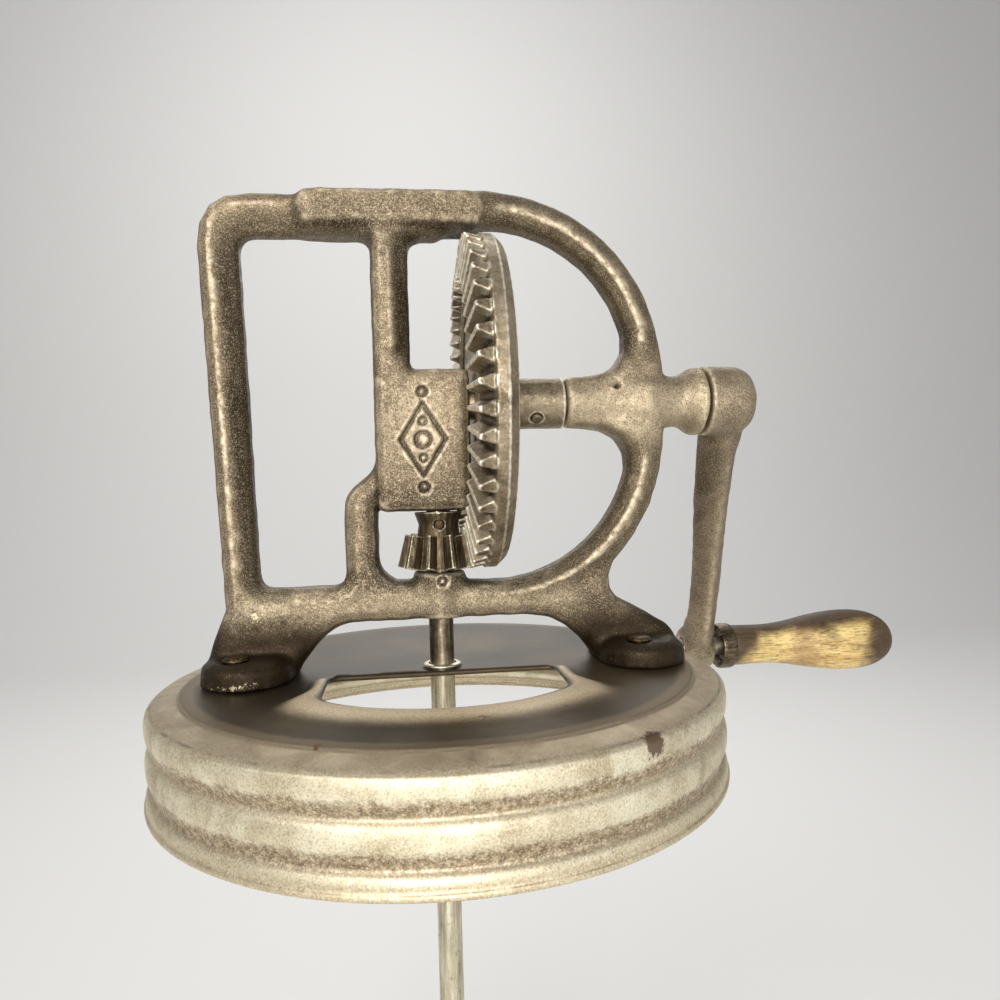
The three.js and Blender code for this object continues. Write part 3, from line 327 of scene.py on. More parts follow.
class Look:
    """Builds one material's nodes"""

    def __init__(self, name, metallic):
        self.mat = bpy.data.materials.new(name)
        self.mat.use_nodes = True
        self.nodes = self.mat.node_tree.nodes
        self.links = self.mat.node_tree.links
        self.bsdf = next(n for n in self.nodes if n.type == "BSDF_PRINCIPLED")
        self.bsdf.inputs["Metallic"].default_value = metallic
        self.place = self.add("ShaderNodeTexCoord").outputs["Object"]
        split = self.add("ShaderNodeSeparateXYZ")
        self.links.new(self.place, split.inputs[0])
        self.x, self.y, self.z = split.outputs

    def add(self, kind, **sets):
        node = self.nodes.new(kind)
        for key, value in sets.items():
            setattr(node, key, value)
        return node

    def feed(self, socket, value):
        if isinstance(value, bpy.types.NodeSocket):
            self.links.new(value, socket)
        else:
            socket.default_value = value

    def set(self, name, value):
        self.feed(self.bsdf.inputs[name], value)

    def noise(self, size, detail=3.0, rough=0.55, stretch=None, warp=0.0):
        """Noise whose features are about size millimetres"""
        node = self.add("ShaderNodeTexNoise")
        where = self.place
        if stretch:
            mapping = self.add("ShaderNodeMapping")
            self.links.new(self.place, mapping.inputs["Vector"])
            mapping.inputs["Scale"].default_value = stretch
            where = mapping.outputs[0]
        self.links.new(where, node.inputs["Vector"])
        node.inputs["Scale"].default_value = 1 / (size * MM)
        node.inputs["Detail"].default_value = detail
        node.inputs["Roughness"].default_value = rough
        node.inputs["Distortion"].default_value = warp
        return node.outputs["Fac"]

    def math(self, kind, a, b=0.0):
        node = self.add("ShaderNodeMath", operation=kind)
        self.feed(node.inputs[0], a)
        self.feed(node.inputs[1], b)
        return node.outputs[0]

    def ease(self, value, lo, hi, out_lo=0.0, out_hi=1.0):
        node = self.add("ShaderNodeMapRange", interpolation_type="SMOOTHSTEP")
        self.feed(node.inputs["Value"], value)
        for key, v in (("From Min", lo), ("From Max", hi), ("To Min", out_lo), ("To Max", out_hi)):
            node.inputs[key].default_value = v
        return node.outputs["Result"]

    def ramp(self, value, *stops):
        node = self.add("ShaderNodeValToRGB")
        self.feed(node.inputs["Fac"], value)
        bar = node.color_ramp.elements
        while len(bar) < len(stops):
            bar.new(0.5)
        for element, (at, colour) in zip(bar, stops):
            element.position = at
            element.color = colour
        return node.outputs["Color"]

    def mix(self, share, a, b):
        """Colours a and b, by share; inputs 6 and 7 are the node's two colours"""
        node = self.add("ShaderNodeMix", data_type="RGBA")
        self.feed(node.inputs["Factor"], share)
        self.feed(node.inputs[6], a)
        self.feed(node.inputs[7], b)
        return node.outputs[2]

    def layered(self, colour, *layers):
        """A colour under layers of (share, colour), the lowest first"""
        for share, over in layers:
            colour = self.mix(share, colour, over)
        return colour

    def painted(self, name):
        return self.add("ShaderNodeAttribute", attribute_name=name).outputs["Fac"]

    def chain(self, kind, values):
        total = values[0]
        for value in values[1:]:
            total = self.math(kind, total, value)
        return total

    def times(self, *values):
        return self.chain("MULTIPLY", values)

    def plus(self, *values):
        return self.chain("ADD", values)

    def largest(self, *values):
        return self.chain("MAXIMUM", values)

    def swing(self, value, amount):
        """A noise as a swing round zero, this wide"""
        return self.times(self.math("SUBTRACT", value, 0.5), amount)

    def between(self, value, lo, hi, soft):
        """1 from lo to hi and 0 outside, with soft ends"""
        return self.times(self.ease(value, lo - soft, lo + soft), self.ease(value, hi + soft, hi - soft))

    def radius(self):
        """Distance from the Z axis, in metres"""
        return self.math("SQRT", self.plus(self.times(self.x, self.x), self.times(self.y, self.y)))

    def near(self, place, reach):
        """1 at a place given in millimetres, 0 from reach millimetres on"""
        node = self.add("ShaderNodeVectorMath", operation="DISTANCE")
        self.links.new(self.place, node.inputs[0])
        node.inputs[1].default_value = [c * MM for c in place]
        return self.ease(node.outputs["Value"], reach * MM, 0.0)

    def done(self, colour, roughness, *layers):
        """The material, with bump layers of (height, strength, depth in millimetres), the coarsest first"""
        self.set("Base Color", colour)
        self.set("Roughness", roughness)
        normal = None
        for height, strength, depth in layers:
            node = self.add("ShaderNodeBump")
            self.feed(node.inputs["Height"], height)
            node.inputs["Strength"].default_value = strength
            node.inputs["Distance"].default_value = depth * MM
            if normal is not None:
                self.links.new(normal, node.inputs["Normal"])
            normal = node.outputs["Normal"]
        self.links.new(normal, self.bsdf.inputs["Normal"])
        return self.mat


def cast_look(name, deep, mid, pale, stained=False):
    """Sand cast iron with a brown skin: fine bright grains, grime in hollows, worn crowns and edges; stained
    pieces also get stains, bare flakes, painted shade and painted highlights
    """
    k = Look(name, 0.72)
    sand = k.noise(0.32, 3, 0.7)
    grit = k.noise(1.3, 3, 0.65)
    cloud = k.noise(12, 3, 0.55, warp=0.6)
    edge, crown = k.painted("edge"), k.painted("crown")
    skin = k.ramp(cloud, (0.30, mid), (0.50, blended(mid, pale, 0.35)), (0.74, blended(mid, pale, 0.7)))
    high = k.times(k.ease(crown, 0.15, 0.95), k.ease(grit, 0.2, 0.6, 0.35, 0.8))
    hollow = k.ease(crown, 0.10, -0.75, 0.0, 0.85)
    colour = k.layered(skin, (high, pale), (hollow, deep))
    # painted shade on the flanks, under the plate, in the bays and on the post, and polish with painted
    # highlight
    if stained:
        flank = k.times(k.painted("flank"), k.ease(cloud, 0.2, 0.6, 0.80, 0.60))
        polish = k.times(k.painted("polish"), k.ease(grit, 0.2, 0.6, 0.4, 0.7))
        colour = k.layered(colour, (flank, deep), (polish, rgb(208, 190, 160)))
    grains = k.ease(sand, 0.51, 0.63, 0.0, 0.58)
    pits = k.ease(sand, 0.49, 0.37, 0.0, 0.55)
    grime_and_shade = k.ease(edge, -0.4, -1.4, 0.0, 0.5)
    rubbed = k.times(k.ease(edge, 0.5, 1.4), k.ease(grit, 0.3, 0.65, 0.1, 0.7))
    colour = k.layered(colour, (grains, rgb(198, 181, 150)), (pits, rgb(42, 32, 20)),
                       (grime_and_shade, rgb(40, 31, 20)), (rubbed, rgb(220, 204, 176)))
    # brown stain with painted shade on the feet, and pale bare flakes that are a painted highlight on the
    # collar
    if stained:
        stain = k.times(k.painted("stain"), k.ease(cloud, 0.2, 0.5, 0.85, 1.0))
        brown = k.mix(k.ease(sand, 0.52, 0.70, 0.0, 0.5), rgb(50, 38, 23), rgb(104, 88, 62))
        ragged = k.plus(k.swing(grit, 2.4), k.swing(sand, 2.8))
        flakes_and_glints = k.times(k.ease(k.plus(k.painted("bare"), ragged), 0.72, 1.0), 0.85)
        colour = k.layered(colour, (stain, brown), (flakes_and_glints, rgb(226, 209, 174)))
    return k.done(colour, k.ease(grit, 0.3, 0.7, 0.60, 0.42),
                  (cloud, 0.2, 0.5), (grit, 0.35, 0.20), (sand, 0.8, 0.10))


frame_look = cast_look("cast_frame", rgb(48, 37, 25), rgb(88, 75, 58), rgb(152, 135, 109), stained=True)
arm_look = cast_look("cast_arm", rgb(52, 41, 28), rgb(108, 94, 75), rgb(176, 160, 134))


def gear_material():
    """Cast iron with painted highlights along its teeth's edges and round the tabs on its rim, and painted
    shade between its teeth
    """
    k = Look("cast_gear", 0.8)
    sand = k.noise(0.50, 4, 0.7)
    grit = k.noise(1.4, 3, 0.6)
    cloud = k.noise(8, 3, 0.55)
    edge, crown, off_rim = k.painted("edge"), k.painted("crown"), k.painted("off_rim")
    skin = k.ramp(cloud, (0.30, rgb(104, 90, 70)), (0.52, rgb(150, 135, 112)), (0.75, rgb(180, 165, 140)))
    grains = k.ease(sand, 0.52, 0.72, 0.0, 0.55)
    pits = k.ease(sand, 0.46, 0.32, 0.0, 0.5)
    # painted shade in the gullets between the teeth
    hollow = k.times(k.ease(crown, 0.0, -0.9, 0.0, 0.85), off_rim)
    grime_and_shade = k.times(k.ease(edge, -0.3, -1.1, 0.0, 0.7), off_rim)
    # painted highlight along the teeth's edges
    tips = k.times(k.ease(edge, 0.30, 1.1), off_rim, k.ease(grit, 0.3, 0.6, 0.5, 1.0))
    # painted highlight round the tabs
    outline = k.times(k.painted("outline"), k.ease(grit, 0.25, 0.6, 0.3, 0.8))
    heel_pit = k.times(k.painted("pit"), k.ease(cloud, 0.35, 0.6, 0.1, 0.8))
    colour = k.layered(skin, (grains, rgb(214, 200, 172)), (pits, rgb(66, 52, 36)), (hollow, rgb(50, 39, 26)),
                       (grime_and_shade, rgb(40, 31, 20)), (tips, rgb(244, 236, 214)), (outline, rgb(238, 228, 204)),
                       (heel_pit, rgb(60, 46, 30)))
    return k.done(colour, k.ease(grit, 0.3, 0.7, 0.52, 0.34), (grit, 0.3, 0.15), (sand, 0.6, 0.10))


gear_look = gear_material()


def steel(name, deep, mid, pale, rough, streak=(1, 1, 1), pits=0.4, aged=None, metallic=0.95):
    """Worn bright steel, streaked one way, with brown spots; aged are the heights between which it browns"""
    k = Look(name, metallic)
    lines = k.noise(0.8, 4, 0.65, stretch=streak)
    spots = k.noise(2.2, 4, 0.7)
    fine = k.noise(0.45, 3, 0.7)
    skin = k.ramp(lines, (0.28, deep), (0.50, mid), (0.72, pale))
    colour = k.layered(skin, (k.ease(spots, 0.56, 0.70, 0.0, pits), rgb(88, 66, 42)),
                       (k.ease(fine, 0.46, 0.32, 0.0, 0.4), deep))
    if aged:
        low, high = aged
        browned = k.times(k.ease(k.z, low * MM, high * MM), k.ease(spots, 0.3, 0.6, 0.55, 0.9))
        brown = k.mix(k.ease(lines, 0.4, 0.7), rgb(70, 54, 34), rgb(128, 108, 80))
        colour = k.mix(browned, colour, brown)
    return k.done(colour, k.ease(spots, 0.35, 0.7, *rough), (lines, 0.25, 0.05), (fine, 0.45, 0.05))


rod_look = steel(
    "rod_steel", rgb(140, 128, 104), rgb(200, 191, 166), rgb(236, 230, 208),
    (0.30, 0.48), (1, 1, 0.08), aged=(0, 7))
shaft_look = steel(
    "shaft_steel", rgb(100, 86, 66), rgb(150, 135, 110), rgb(198, 182, 154),
    (0.34, 0.5), (0.08, 1, 1))
eyelet_look = steel(
    "eyelet_tin", rgb(190, 180, 152), rgb(226, 218, 192), rgb(245, 240, 220),
    (0.28, 0.4), pits=0.2)
dark_look = steel(
    "dark_steel", rgb(44, 33, 20), rgb(66, 53, 38), rgb(98, 84, 64),
    (0.42, 0.6), pits=0.5, metallic=0.8)
ferrule_look = steel(
    "ferrule_steel", rgb(54, 44, 32), rgb(96, 84, 66), rgb(150, 138, 116),
    (0.26, 0.42), (0.3, 1, 1))
fitting_look = steel(
    "fitting_steel", rgb(120, 110, 92), rgb(164, 154, 134), rgb(206, 198, 178),
    (0.3, 0.5))


def pinion_material():
    """Dark greasy steel with bright streaks along the teeth's crowns"""
    k = Look("pinion_steel", 0.9)
    streaks = k.noise(0.8, 4, 0.65, stretch=(1, 1, 0.15))
    grit = k.noise(1.2, 4, 0.7)
    skin = k.ramp(streaks, (0.30, rgb(60, 49, 34)), (0.52, rgb(98, 85, 64)), (0.74, rgb(140, 127, 102)))
    pits = k.ease(grit, 0.45, 0.30, 0.0, 0.6)
    hollow = k.ease(k.painted("crown"), 0.0, -0.8, 0.0, 0.8)
    tips = k.times(k.ease(k.painted("edge"), 0.3, 1.1), k.ease(grit, 0.3, 0.6, 0.4, 0.9))
    colour = k.layered(skin, (pits, rgb(46, 36, 24)), (hollow, rgb(38, 29, 18)), (tips, rgb(236, 228, 206)))
    return k.done(colour, k.ease(grit, 0.3, 0.7, 0.62, 0.42), (streaks, 0.4, 0.10), (grit, 0.6, 0.14))


pinion_look = pinion_material()

# Heights over the disc, and distances from the axis, where the lid's looks change
GROOVES = ((-8.6, -5.8), (-16.5, -13.4))
# thin painted shade along the steps: at this distance from the axis, and at these heights
CREASE_R, CREASES_H = (54.2, 54.6), ((-1.75, -1.45), (-19.0, -18.8))
RUST_SPOT = (31.8, -51.2, DISC - 2.6)


def lid_material():
    """Old tin plate: a dark smooth disc with a painted reflection of dark surroundings, painted highlights on
    the window's bead and on a ring near the disc's rim, a pale worn skirt, grainy brown painted shade in the
    grooves, thin painted shade along the steps, rust spots
    """
    k = Look("lid_tin", 0.75)
    r = k.times(k.radius(), 1 / MM)
    h = k.math("SUBTRACT", k.times(k.z, 1 / MM), DISC)
    sand = k.noise(0.36, 4, 0.8)
    grit = k.noise(1.0, 4, 0.75)
    blotch = k.noise(8, 4, 0.6, warp=0.8)
    smear = k.noise(24, 3, 0.5, stretch=(1, 1, 3))
    rust = k.noise(6, 5, 0.7)
    drift = k.plus(k.swing(grit, 2.2), k.swing(blotch, 2.2))
    ragged_r, ragged_h = k.plus(r, drift), k.plus(h, drift)

    # the disc's dark tone holds a painted reflection of dark surroundings
    disc = k.ramp(smear, (0.32, rgb(50, 40, 27)), (0.52, rgb(74, 62, 43)), (0.75, rgb(100, 86, 62)))
    tan = k.ramp(blotch, (0.28, rgb(152, 135, 110)), (0.50, rgb(180, 164, 138)), (0.72, rgb(206, 191, 166)))
    cream = k.ramp(blotch, (0.28, rgb(188, 172, 140)), (0.50, rgb(222, 210, 180)), (0.72, rgb(242, 234, 208)))
    brown = k.ramp(grit, (0.36, rgb(96, 74, 51)), (0.50, rgb(152, 130, 101)), (0.64, rgb(208, 190, 160)))
    lining = k.ramp(blotch, (0.3, rgb(206, 190, 154)), (0.6, rgb(244, 236, 210)))

    # painted highlight: a paler ring near the disc's rim
    rim = k.times(k.ease(ragged_r, 50.6, 52.0), 0.45)
    bead = k.plus(k.painted("bead"), k.times(drift, 0.09))
    # painted highlight on the bead's front roll
    crest = k.times(k.ease(bead, 0.0, 1.0), k.ease(sand, 0.36, 0.6, 0.6, 1.0))
    # grainy brown painted shade in the grooves, whose upper sides face down
    groove_shade = k.times(k.largest(*[k.between(ragged_h, low, high, 0.8) for low, high in GROOVES]), 0.85)
    low_stain = k.times(k.ease(h, -16.6, -18.4), k.ease(blotch, 0.40, 0.60, 0.15, 0.7))
    wall = k.ease(h, -0.8, -2.6, 0.25, 1.0)
    dark_sand = k.times(k.ease(sand, 0.48, 0.36, 0.0, 0.50), wall)
    pale_sand = k.times(k.ease(sand, 0.52, 0.64, 0.0, 0.60), k.ease(r, 52.0, 56.0), wall)
    # thin painted shade along the steps of the shoulder and the hem
    crease_shade = k.largest(k.between(r, *CREASE_R, 0.12), *[k.between(h, low, high, 0.12) for low, high in CREASES_H])
    crease_shade = k.times(crease_shade, k.ease(blotch, 0.40, 0.65, 0.05, 0.5))
    inside = k.times(k.ease(r, 59.3, 59.0), k.ease(h, -1.8, -3.4))
    rust_spot = k.plus(k.near(RUST_SPOT, 4.2), k.swing(grit, 1.4))

    outer = k.ease(ragged_r, 50.0, 55.0)
    k.set("Metallic", k.times(k.ease(outer, 0.0, 1.0, 0.65, 0.75), k.ease(bead, 0.0, 1.0, 1.0, 0.35)))
    colour = k.layered(
        disc,
        (rim, rgb(150, 133, 104)),
        (crest, rgb(232, 212, 178)),
        (k.ease(r, 53.6, 54.5), tan),
        (k.ease(ragged_h, -0.9, -2.6), cream),
        (groove_shade, brown),
        (low_stain, rgb(186, 166, 132)),
        (dark_sand, rgb(112, 90, 64)),
        (pale_sand, rgb(248, 243, 222)),
        (crease_shade, rgb(88, 70, 48)),
        (inside, lining),
        (k.ease(rust, 0.64, 0.72, 0.0, 0.8), rgb(96, 66, 38)),
        (k.ease(rust_spot, 0.35, 0.60, 0.0, 0.85), rgb(92, 58, 36)))
    return k.done(colour, k.ease(outer, 0.0, 1.0, 0.40, 0.46),
                  (blotch, 0.12, 0.4), (grit, 0.25, 0.10), (sand, 0.6, 0.08))


lid_look = lid_material()


def wood(name, burnt, mid, pale, end_stain):
    """Turned or sawn wood with grain along X"""
    k = Look(name, 0.0)
    fibre = k.noise(0.42, 5, 0.7, stretch=(0.10, 1, 1), warp=0.4)
    band = k.noise(5, 3, 0.5, stretch=(0.12, 1, 1), warp=0.7)
    dirt_and_shade = k.noise(10, 3, 0.6)
    fleck = k.noise(0.32, 3, 0.7, stretch=(0.25, 1, 1))
    plain = k.ramp(band, (0.30, mid), (0.52, pale), (0.74, mid))
    colour = k.layered(plain, (k.ease(fibre, 0.53, 0.38, 0.0, 0.62), burnt),
                       (k.ease(fleck, 0.45, 0.32, 0.0, 0.5), burnt),
                       (k.ease(dirt_and_shade, 0.50, 0.70, 0.0, 0.5), burnt))
    if end_stain:
        # dark at the foot, at the tip and on top
        normal = k.add("ShaderNodeSeparateXYZ")
        k.links.new(k.add("ShaderNodeTexCoord").outputs["Normal"], normal.inputs[0])
        ragged = k.swing(dirt_and_shade, 14 * MM)
        along = k.plus(k.x, ragged)
        up = k.plus(normal.outputs["Z"], k.times(ragged, 30))
        foot = k.ease(k.plus(along, k.times(up, -4 * MM)), 96.5 * MM, 89.5 * MM)
        tip = k.ease(along, 120 * MM, 131 * MM)
        top = k.ease(up, 0.45, 0.85)
        waist = k.times(k.between(along, 104.5 * MM, 110.5 * MM, 4 * MM), 0.6)
        stain = k.times(k.largest(foot, tip, top), k.ease(fibre, 0.2, 0.6, 1.0, 0.93))
        colour = k.layered(colour, (waist, rgb(146, 108, 76)), (stain, rgb(58, 37, 20)))
    return k.done(colour, k.ease(fibre, 0.3, 0.7, 0.62, 0.42),
                  (band, 0.15, 0.2), (fibre, 0.5, 0.12), (fleck, 0.4, 0.06))


grip_look = wood("grip_wood", rgb(66, 46, 28), rgb(196, 158, 94), rgb(236, 208, 140), True)
board_look = wood("board_wood", rgb(120, 92, 60), rgb(186, 156, 112), rgb(214, 188, 144), False)


def rubber_material():
    k = Look("seal_rubber", 0.0)
    cloud = k.noise(7, 4, 0.6)
    fine = k.noise(0.5, 3, 0.6)
    colour = k.ramp(cloud, (0.3, rgb(140, 130, 112)), (0.7, rgb(176, 166, 148)))
    return k.done(colour, 0.75, (cloud, 0.2, 0.2), (fine, 0.4, 0.05))


seal_look = rubber_material()


# Lid: one pressed sheet, drawn as its upper and outer side and then given its thickness

LID_COUNT = 240
DISC_RIM = 52.6
SHEET = 0.9
ROD_HOLE = 3.65
WINDOW_HALF, WINDOW_R, WINDOW_BACK, WINDOW_CORNER = 24, 33.2, -5.4, 2.2
BEND_STEPS = 6
# The bead's rows of points, by their distance from the window, and the disc's rings of points
BEAD_ROWS = (0.35, 0.75, 1.2, 1.7, 2.3, 3.1, 4.0, 5.0, 6.1, 7.3, 8.6)
ROW_STEP, RING_STEP, RING_START, RING_GAP = 1.6, 2.2, 5, 2
BEAD_HIGH, DISC_SINK = 0.86, 0.04
WAVE_LONG, WAVE_HIGH = 17, 0.05
DENT_HIGH = 0.10


def pour_outline(grow, step=1.2):
    """The window's edge, or a line that far outside it, as closed points"""
    half, radius, side = WINDOW_HALF + grow, WINDOW_R + grow, WINDOW_CORNER + grow / 2
    back = min(grow, 0.6 + grow * 0.35) + WINDOW_BACK  # keeps clear of the rod's hole
    corner = -sqrt(radius ** 2 - half ** 2)
    turn = acos((half - side) / radius)
    pts = [(-half + side, back), (half - side, back)]

    def bend(a, c, b):
        for i in range(1, BEND_STEPS + 1):
            t = i / BEND_STEPS
            pts.append(tuple(a[k] * (1 - t) ** 2 + 2 * c[k] * t * (1 - t) + b[k] * t * t for k in (0, 1)))

    bend((half - side, back), (half, back), (half, back - side))
    pts.append((half, corner + side))
    bend((half, corner + side), (half, corner), (half - side, -radius * sin(turn)))
    arc = pi - 2 * turn
    count = int(arc * radius / step)
    pts += [(radius * cos(-turn - arc * i / count), radius * sin(-turn - arc * i / count))
            for i in range(1, count + 1)]
    bend((-half + side, -radius * sin(turn)), (-half, corner), (-half, corner + side))
    pts.append((-half, back - side))
    bend((-half, back - side), (-half, back), (-half + side, back))
    line = []
    for p, q in zip(pts, pts[1:] + pts[:1]):
        span = dist(p, q)
        if span < TINY:
            continue
        cuts = max(1, round(span / step))
        line += [(p[0] + (q[0] - p[0]) * i / cuts, p[1] + (q[1] - p[1]) * i / cuts) for i in range(cuts)]
    return line


def away_from(points, line):
    """Distance of each point from a closed line, and whether it lies inside"""
    p = np.array(points)[:, None, :]
    a = np.array(line)[None, :, :]
    b = np.roll(a, -1, axis=1)
    ab = b - a
    t = np.clip(((p - a) * ab).sum(2) / (ab ** 2).sum(2), 0, 1)
    far = np.sqrt((((a + ab * t[..., None]) - p) ** 2).sum(2)).min(1)
    crosses = (a[..., 1] > p[..., 1]) != (b[..., 1] > p[..., 1])
    with np.errstate(divide="ignore", invalid="ignore"):
        x = a[..., 0] + (p[..., 1] - a[..., 1]) / (b[..., 1] - a[..., 1]) * ab[..., 0]
    inside = (crosses & (p[..., 0] < x)).sum(1) % 2 == 1
    return far, inside


def bead_share(points, line):
    """How much of the window's bead lies at each point: narrow beside the rod, and wide at the front"""
    p = np.array(points)
    far, _ = away_from(points, line)
    front = rising(-p[:, 1], 4.5, 10.0)
    wide = rising(-p[:, 1], 14.0, 30.0)
    rise = rising(far, 0.0, 1.1 + 1.9 * wide)
    return front * rise * falling(far, 1.3 + 3.2 * wide, 3.6 + 8.4 * wide)


def disc_height(points, line):
    """Pressed relief of the disc over its own level: the bead round the window, and slight waves"""
    waves = np.array([noise.noise(Vector((x / WAVE_LONG, y / WAVE_LONG, 0.3))) for x, y in points])
    return BEAD_HIGH * bead_share(points, line) - DISC_SINK + waves * WAVE_HIGH


def lid_sheet():
    """The sheet inside the disc's rim, with the window, the rod's hole and the relief"""
    window = pour_outline(0.0)
    points, edges = [], []
    for loop in (window, circle(ROD_HOLE, 32), circle(DISC_RIM, LID_COUNT)):
        start = len(points)
        points += loop
        edges += [(start + i, start + (i + 1) % len(loop)) for i in range(len(loop))]
    rows = []
    for grow in BEAD_ROWS:
        rows += [p for p in pour_outline(grow, ROW_STEP) if 4.6 < hypot(*p) < DISC_RIM - 0.8]
    far, _ = away_from(rows, window)
    points += [p for p, d in zip(rows, far) if d > 0.2 and p[1] < -5.6]
    rings = []
    for r in range(RING_START, int(DISC_RIM), RING_GAP):
        rings += circle(r, max(12, int(tau * r / RING_STEP)), 0.37)
    far, inside = away_from(rings, window)
    points += [p for p, d, hid in zip(rings, far, inside) if not hid and (d > 9.2 or p[1] > -4.0 and d > 0.8)]
    found = delaunay_2d_cdt([Vector(p) for p in points], edges, [], 0, 1e-5)
    flat = [(v.x, v.y) for v in found[0]]
    height = disc_height(flat, window)
    fade = falling(np.hypot(*np.array(flat).T), DISC_RIM - 2.5, DISC_RIM)
    verts = [(x, y, DISC + h * f) for (x, y), h, f in zip(flat, height, fade)]
    middles = [tuple(sum(flat[i][k] for i in f) / len(f) for k in (0, 1)) for f in found[2]]
    _, in_window = away_from(middles, window)
    faces = [f for f, m, gone in zip(found[2], middles, in_window)
             if not gone and ROD_HOLE - 0.01 < hypot(*m) < DISC_RIM]
    return verts, faces


def lid_wall():
    """Outer side of the lid from the disc's rim down to its rolled hem, as [radius, height over the disc]"""
    shape = [
        (DISC_RIM, 0.0, 0), (53.9, -0.02, 0.5), (54.6, -0.62, 0.4), (57.6, -0.95, 1.6), (59.0, -1.35, 0.5),
        (59.5, -1.75, 0.4), (60.2, -2.2, 0.8), (60.5, -3.6, 1.2), (60.4, -5.6, 1.2), (59.75, -7.2, 1.2),
        (59.3, -8.5, 0.7), (60.2, -9.3, 0.6), (60.5, -10.4, 1.0), (60.45, -12.8, 1.2), (59.8, -14.5, 1.2),
        (59.3, -15.9, 0.7), (60.2, -16.7, 0.5), (60.5, -17.6, 0.6), (60.45, -18.6, 0.4), (60.85, -19.25, 0.4),
        (60.75, -19.95, 0.4), (60.2, -20.05, 0.3), (59.7, -19.7, 0),
    ]
    return rounded(shape, 0.8, 4)


def build_lid():
    verts, faces = lid_sheet()
    profile = lid_wall()
    base = len(verts)
    rim = {}
    for i, (x, y, _) in enumerate(verts):
        if abs(hypot(x, y) - DISC_RIM) < 0.02:
            rim[round(atan2(y, x) / tau * LID_COUNT) % LID_COUNT] = i
    for r, h in profile[1:]:
        fade = min(1.0, max(0.0, -h / 2))
        for k in range(LID_COUNT):
            a = tau * k / LID_COUNT
            dent = noise.noise(Vector((cos(a) * 2.2, sin(a) * 2.2, h / 9))) * DENT_HIGH
            verts.append(((r + dent * fade) * cos(a), (r + dent * fade) * sin(a), DISC + h))
    for row in range(len(profile) - 1):
        for k in range(LID_COUNT):
            n = (k + 1) % LID_COUNT
            low = [base + row * LID_COUNT + k, base + row * LID_COUNT + n]
            high = [rim[n], rim[k]] if row == 0 else [low[1] - LID_COUNT, low[0] - LID_COUNT]
            faces.append((low[0], low[1], high[0], high[1]))
    lid = outward(make("lid_sheet", verts, faces, "head", lid_look, ("lid",)), open_sheet=True)
    skin = lid.modifiers.new("sheet", "SOLIDIFY")
    skin.thickness = SHEET * MM
    skin.offset = -1
    applied(lid)
    flat = points_of(lid.data)[:, :2]
    paint(lid.data, "bead", bead_share(flat, pour_outline(0.0)))
    smooth(lid.data)


build_lid()

turned("seal_band", section(48.2, 54.85, 0.0, 1.55), 0.5, 192, "head", seal_look, ("seal_ring",),
       closed=True)
EYELET = [(3.0, 1.75), (3.4, 1.75), (3.4, 3.1), (4.2, 3.12, 0.2), (4.15, 3.55, 0.4), (3.4, 3.85, 0.5),
          (3.0, 3.7, 0.3)]
turned("eyelet_tube", EYELET, 0.12, 64, "head", eyelet_look, ("rod_eyelet",), closed=True)


# Rivets: low domed heads, a little uneven, set in the pads

PAD_TOP = DISC + 5.5
RIVET = [(0, 0.35), (1.9, 0.35), (2.6, 1.6), (1.7, 1.6, 0.05), (1.7, PAD_TOP, 0.05), (2.62, PAD_TOP, 0.15),
         (2.45, PAD_TOP + 0.55, 0.3), (1.3, PAD_TOP + 0.92, 0.5), (0, PAD_TOP + 0.82)]
rivet_look = steel("rivet_steel", rgb(52, 40, 26), rgb(84, 69, 48), rgb(140, 122, 94), (0.40, 0.55))


def rivet(node, seed):
    def wave(a, s):
        return 0.06 * sin(3 * a + seed) if s > 8 else 0

    x, y, _ = middle(node)
    turned(node + "_head", RIVET, 0.3, 40, "head", rivet_look, (node,),
           centre=(x, y, 0), wave=wave, steps=3)


for seed, foot in enumerate(("front_left", "back_left", "front_right", "back_right")):
    rivet("foot_rivet_" + foot, seed)


# Frame casting. Its outer line: left side, top and the arch with its two turns

ARCH_X, ARCH_LOW, ARCH_HIGH, ARCH_R = 12.0, 50.7, 65.3, 39.4
LEFT_X, LEFT_LEAN, TOP_H = -45.8, 3.5, 103.5  # the left side's foot, how far it leans out, and the top
CORNER = 2.2
BAR = 8.4
CREST_SHARE, THINNEST = 0.30, 0.50
# The solid's arch has flat facets: 8 in its outer quarter turn, and 9 in 85 degrees of its inner one
OUTER_FACET, INNER_FACET, INNER_START = radians(90 / 8), radians(85 / 9), radians(5)
BLOCK_X, BLOCK_H = -2.9, 50.05
BEADS = ((0, 2.0), (4.0, 0.9), (-4.0, 0.9), (10.2, 1.1), (-10.2, 1.1))  # height in the block, and radius
BOSS_H = 58.0
PIN_HOLE, PIN_HOLE_R = (0.4, 19.4), 0.75
OIL_HOLE, OIL_LIP_R = (42.6, 62.6), 1.5
POST_X = -8.2
BAY_X, BAY_H = (-13.2, 8.0), (20, 37.9)
PLATE_X = (-29, 12)


def from_outer_line(x, h):
    """Distance from the casting's outer line, measured inwards, rounded off at the upper left corner"""
    left = x - LEFT_X + LEFT_LEAN * np.clip((h - 12) / 80, 0, 1)
    corner = -np.log(np.exp(-left / CORNER) + np.exp(-(TOP_H - h) / CORNER)) * CORNER
    arch = ARCH_R - np.hypot(x - ARCH_X, h - np.clip(h, ARCH_LOW, ARCH_HIGH))
    turn = rising(x, 8.0, 14.0)
    return corner * (1 - turn) + arch * turn


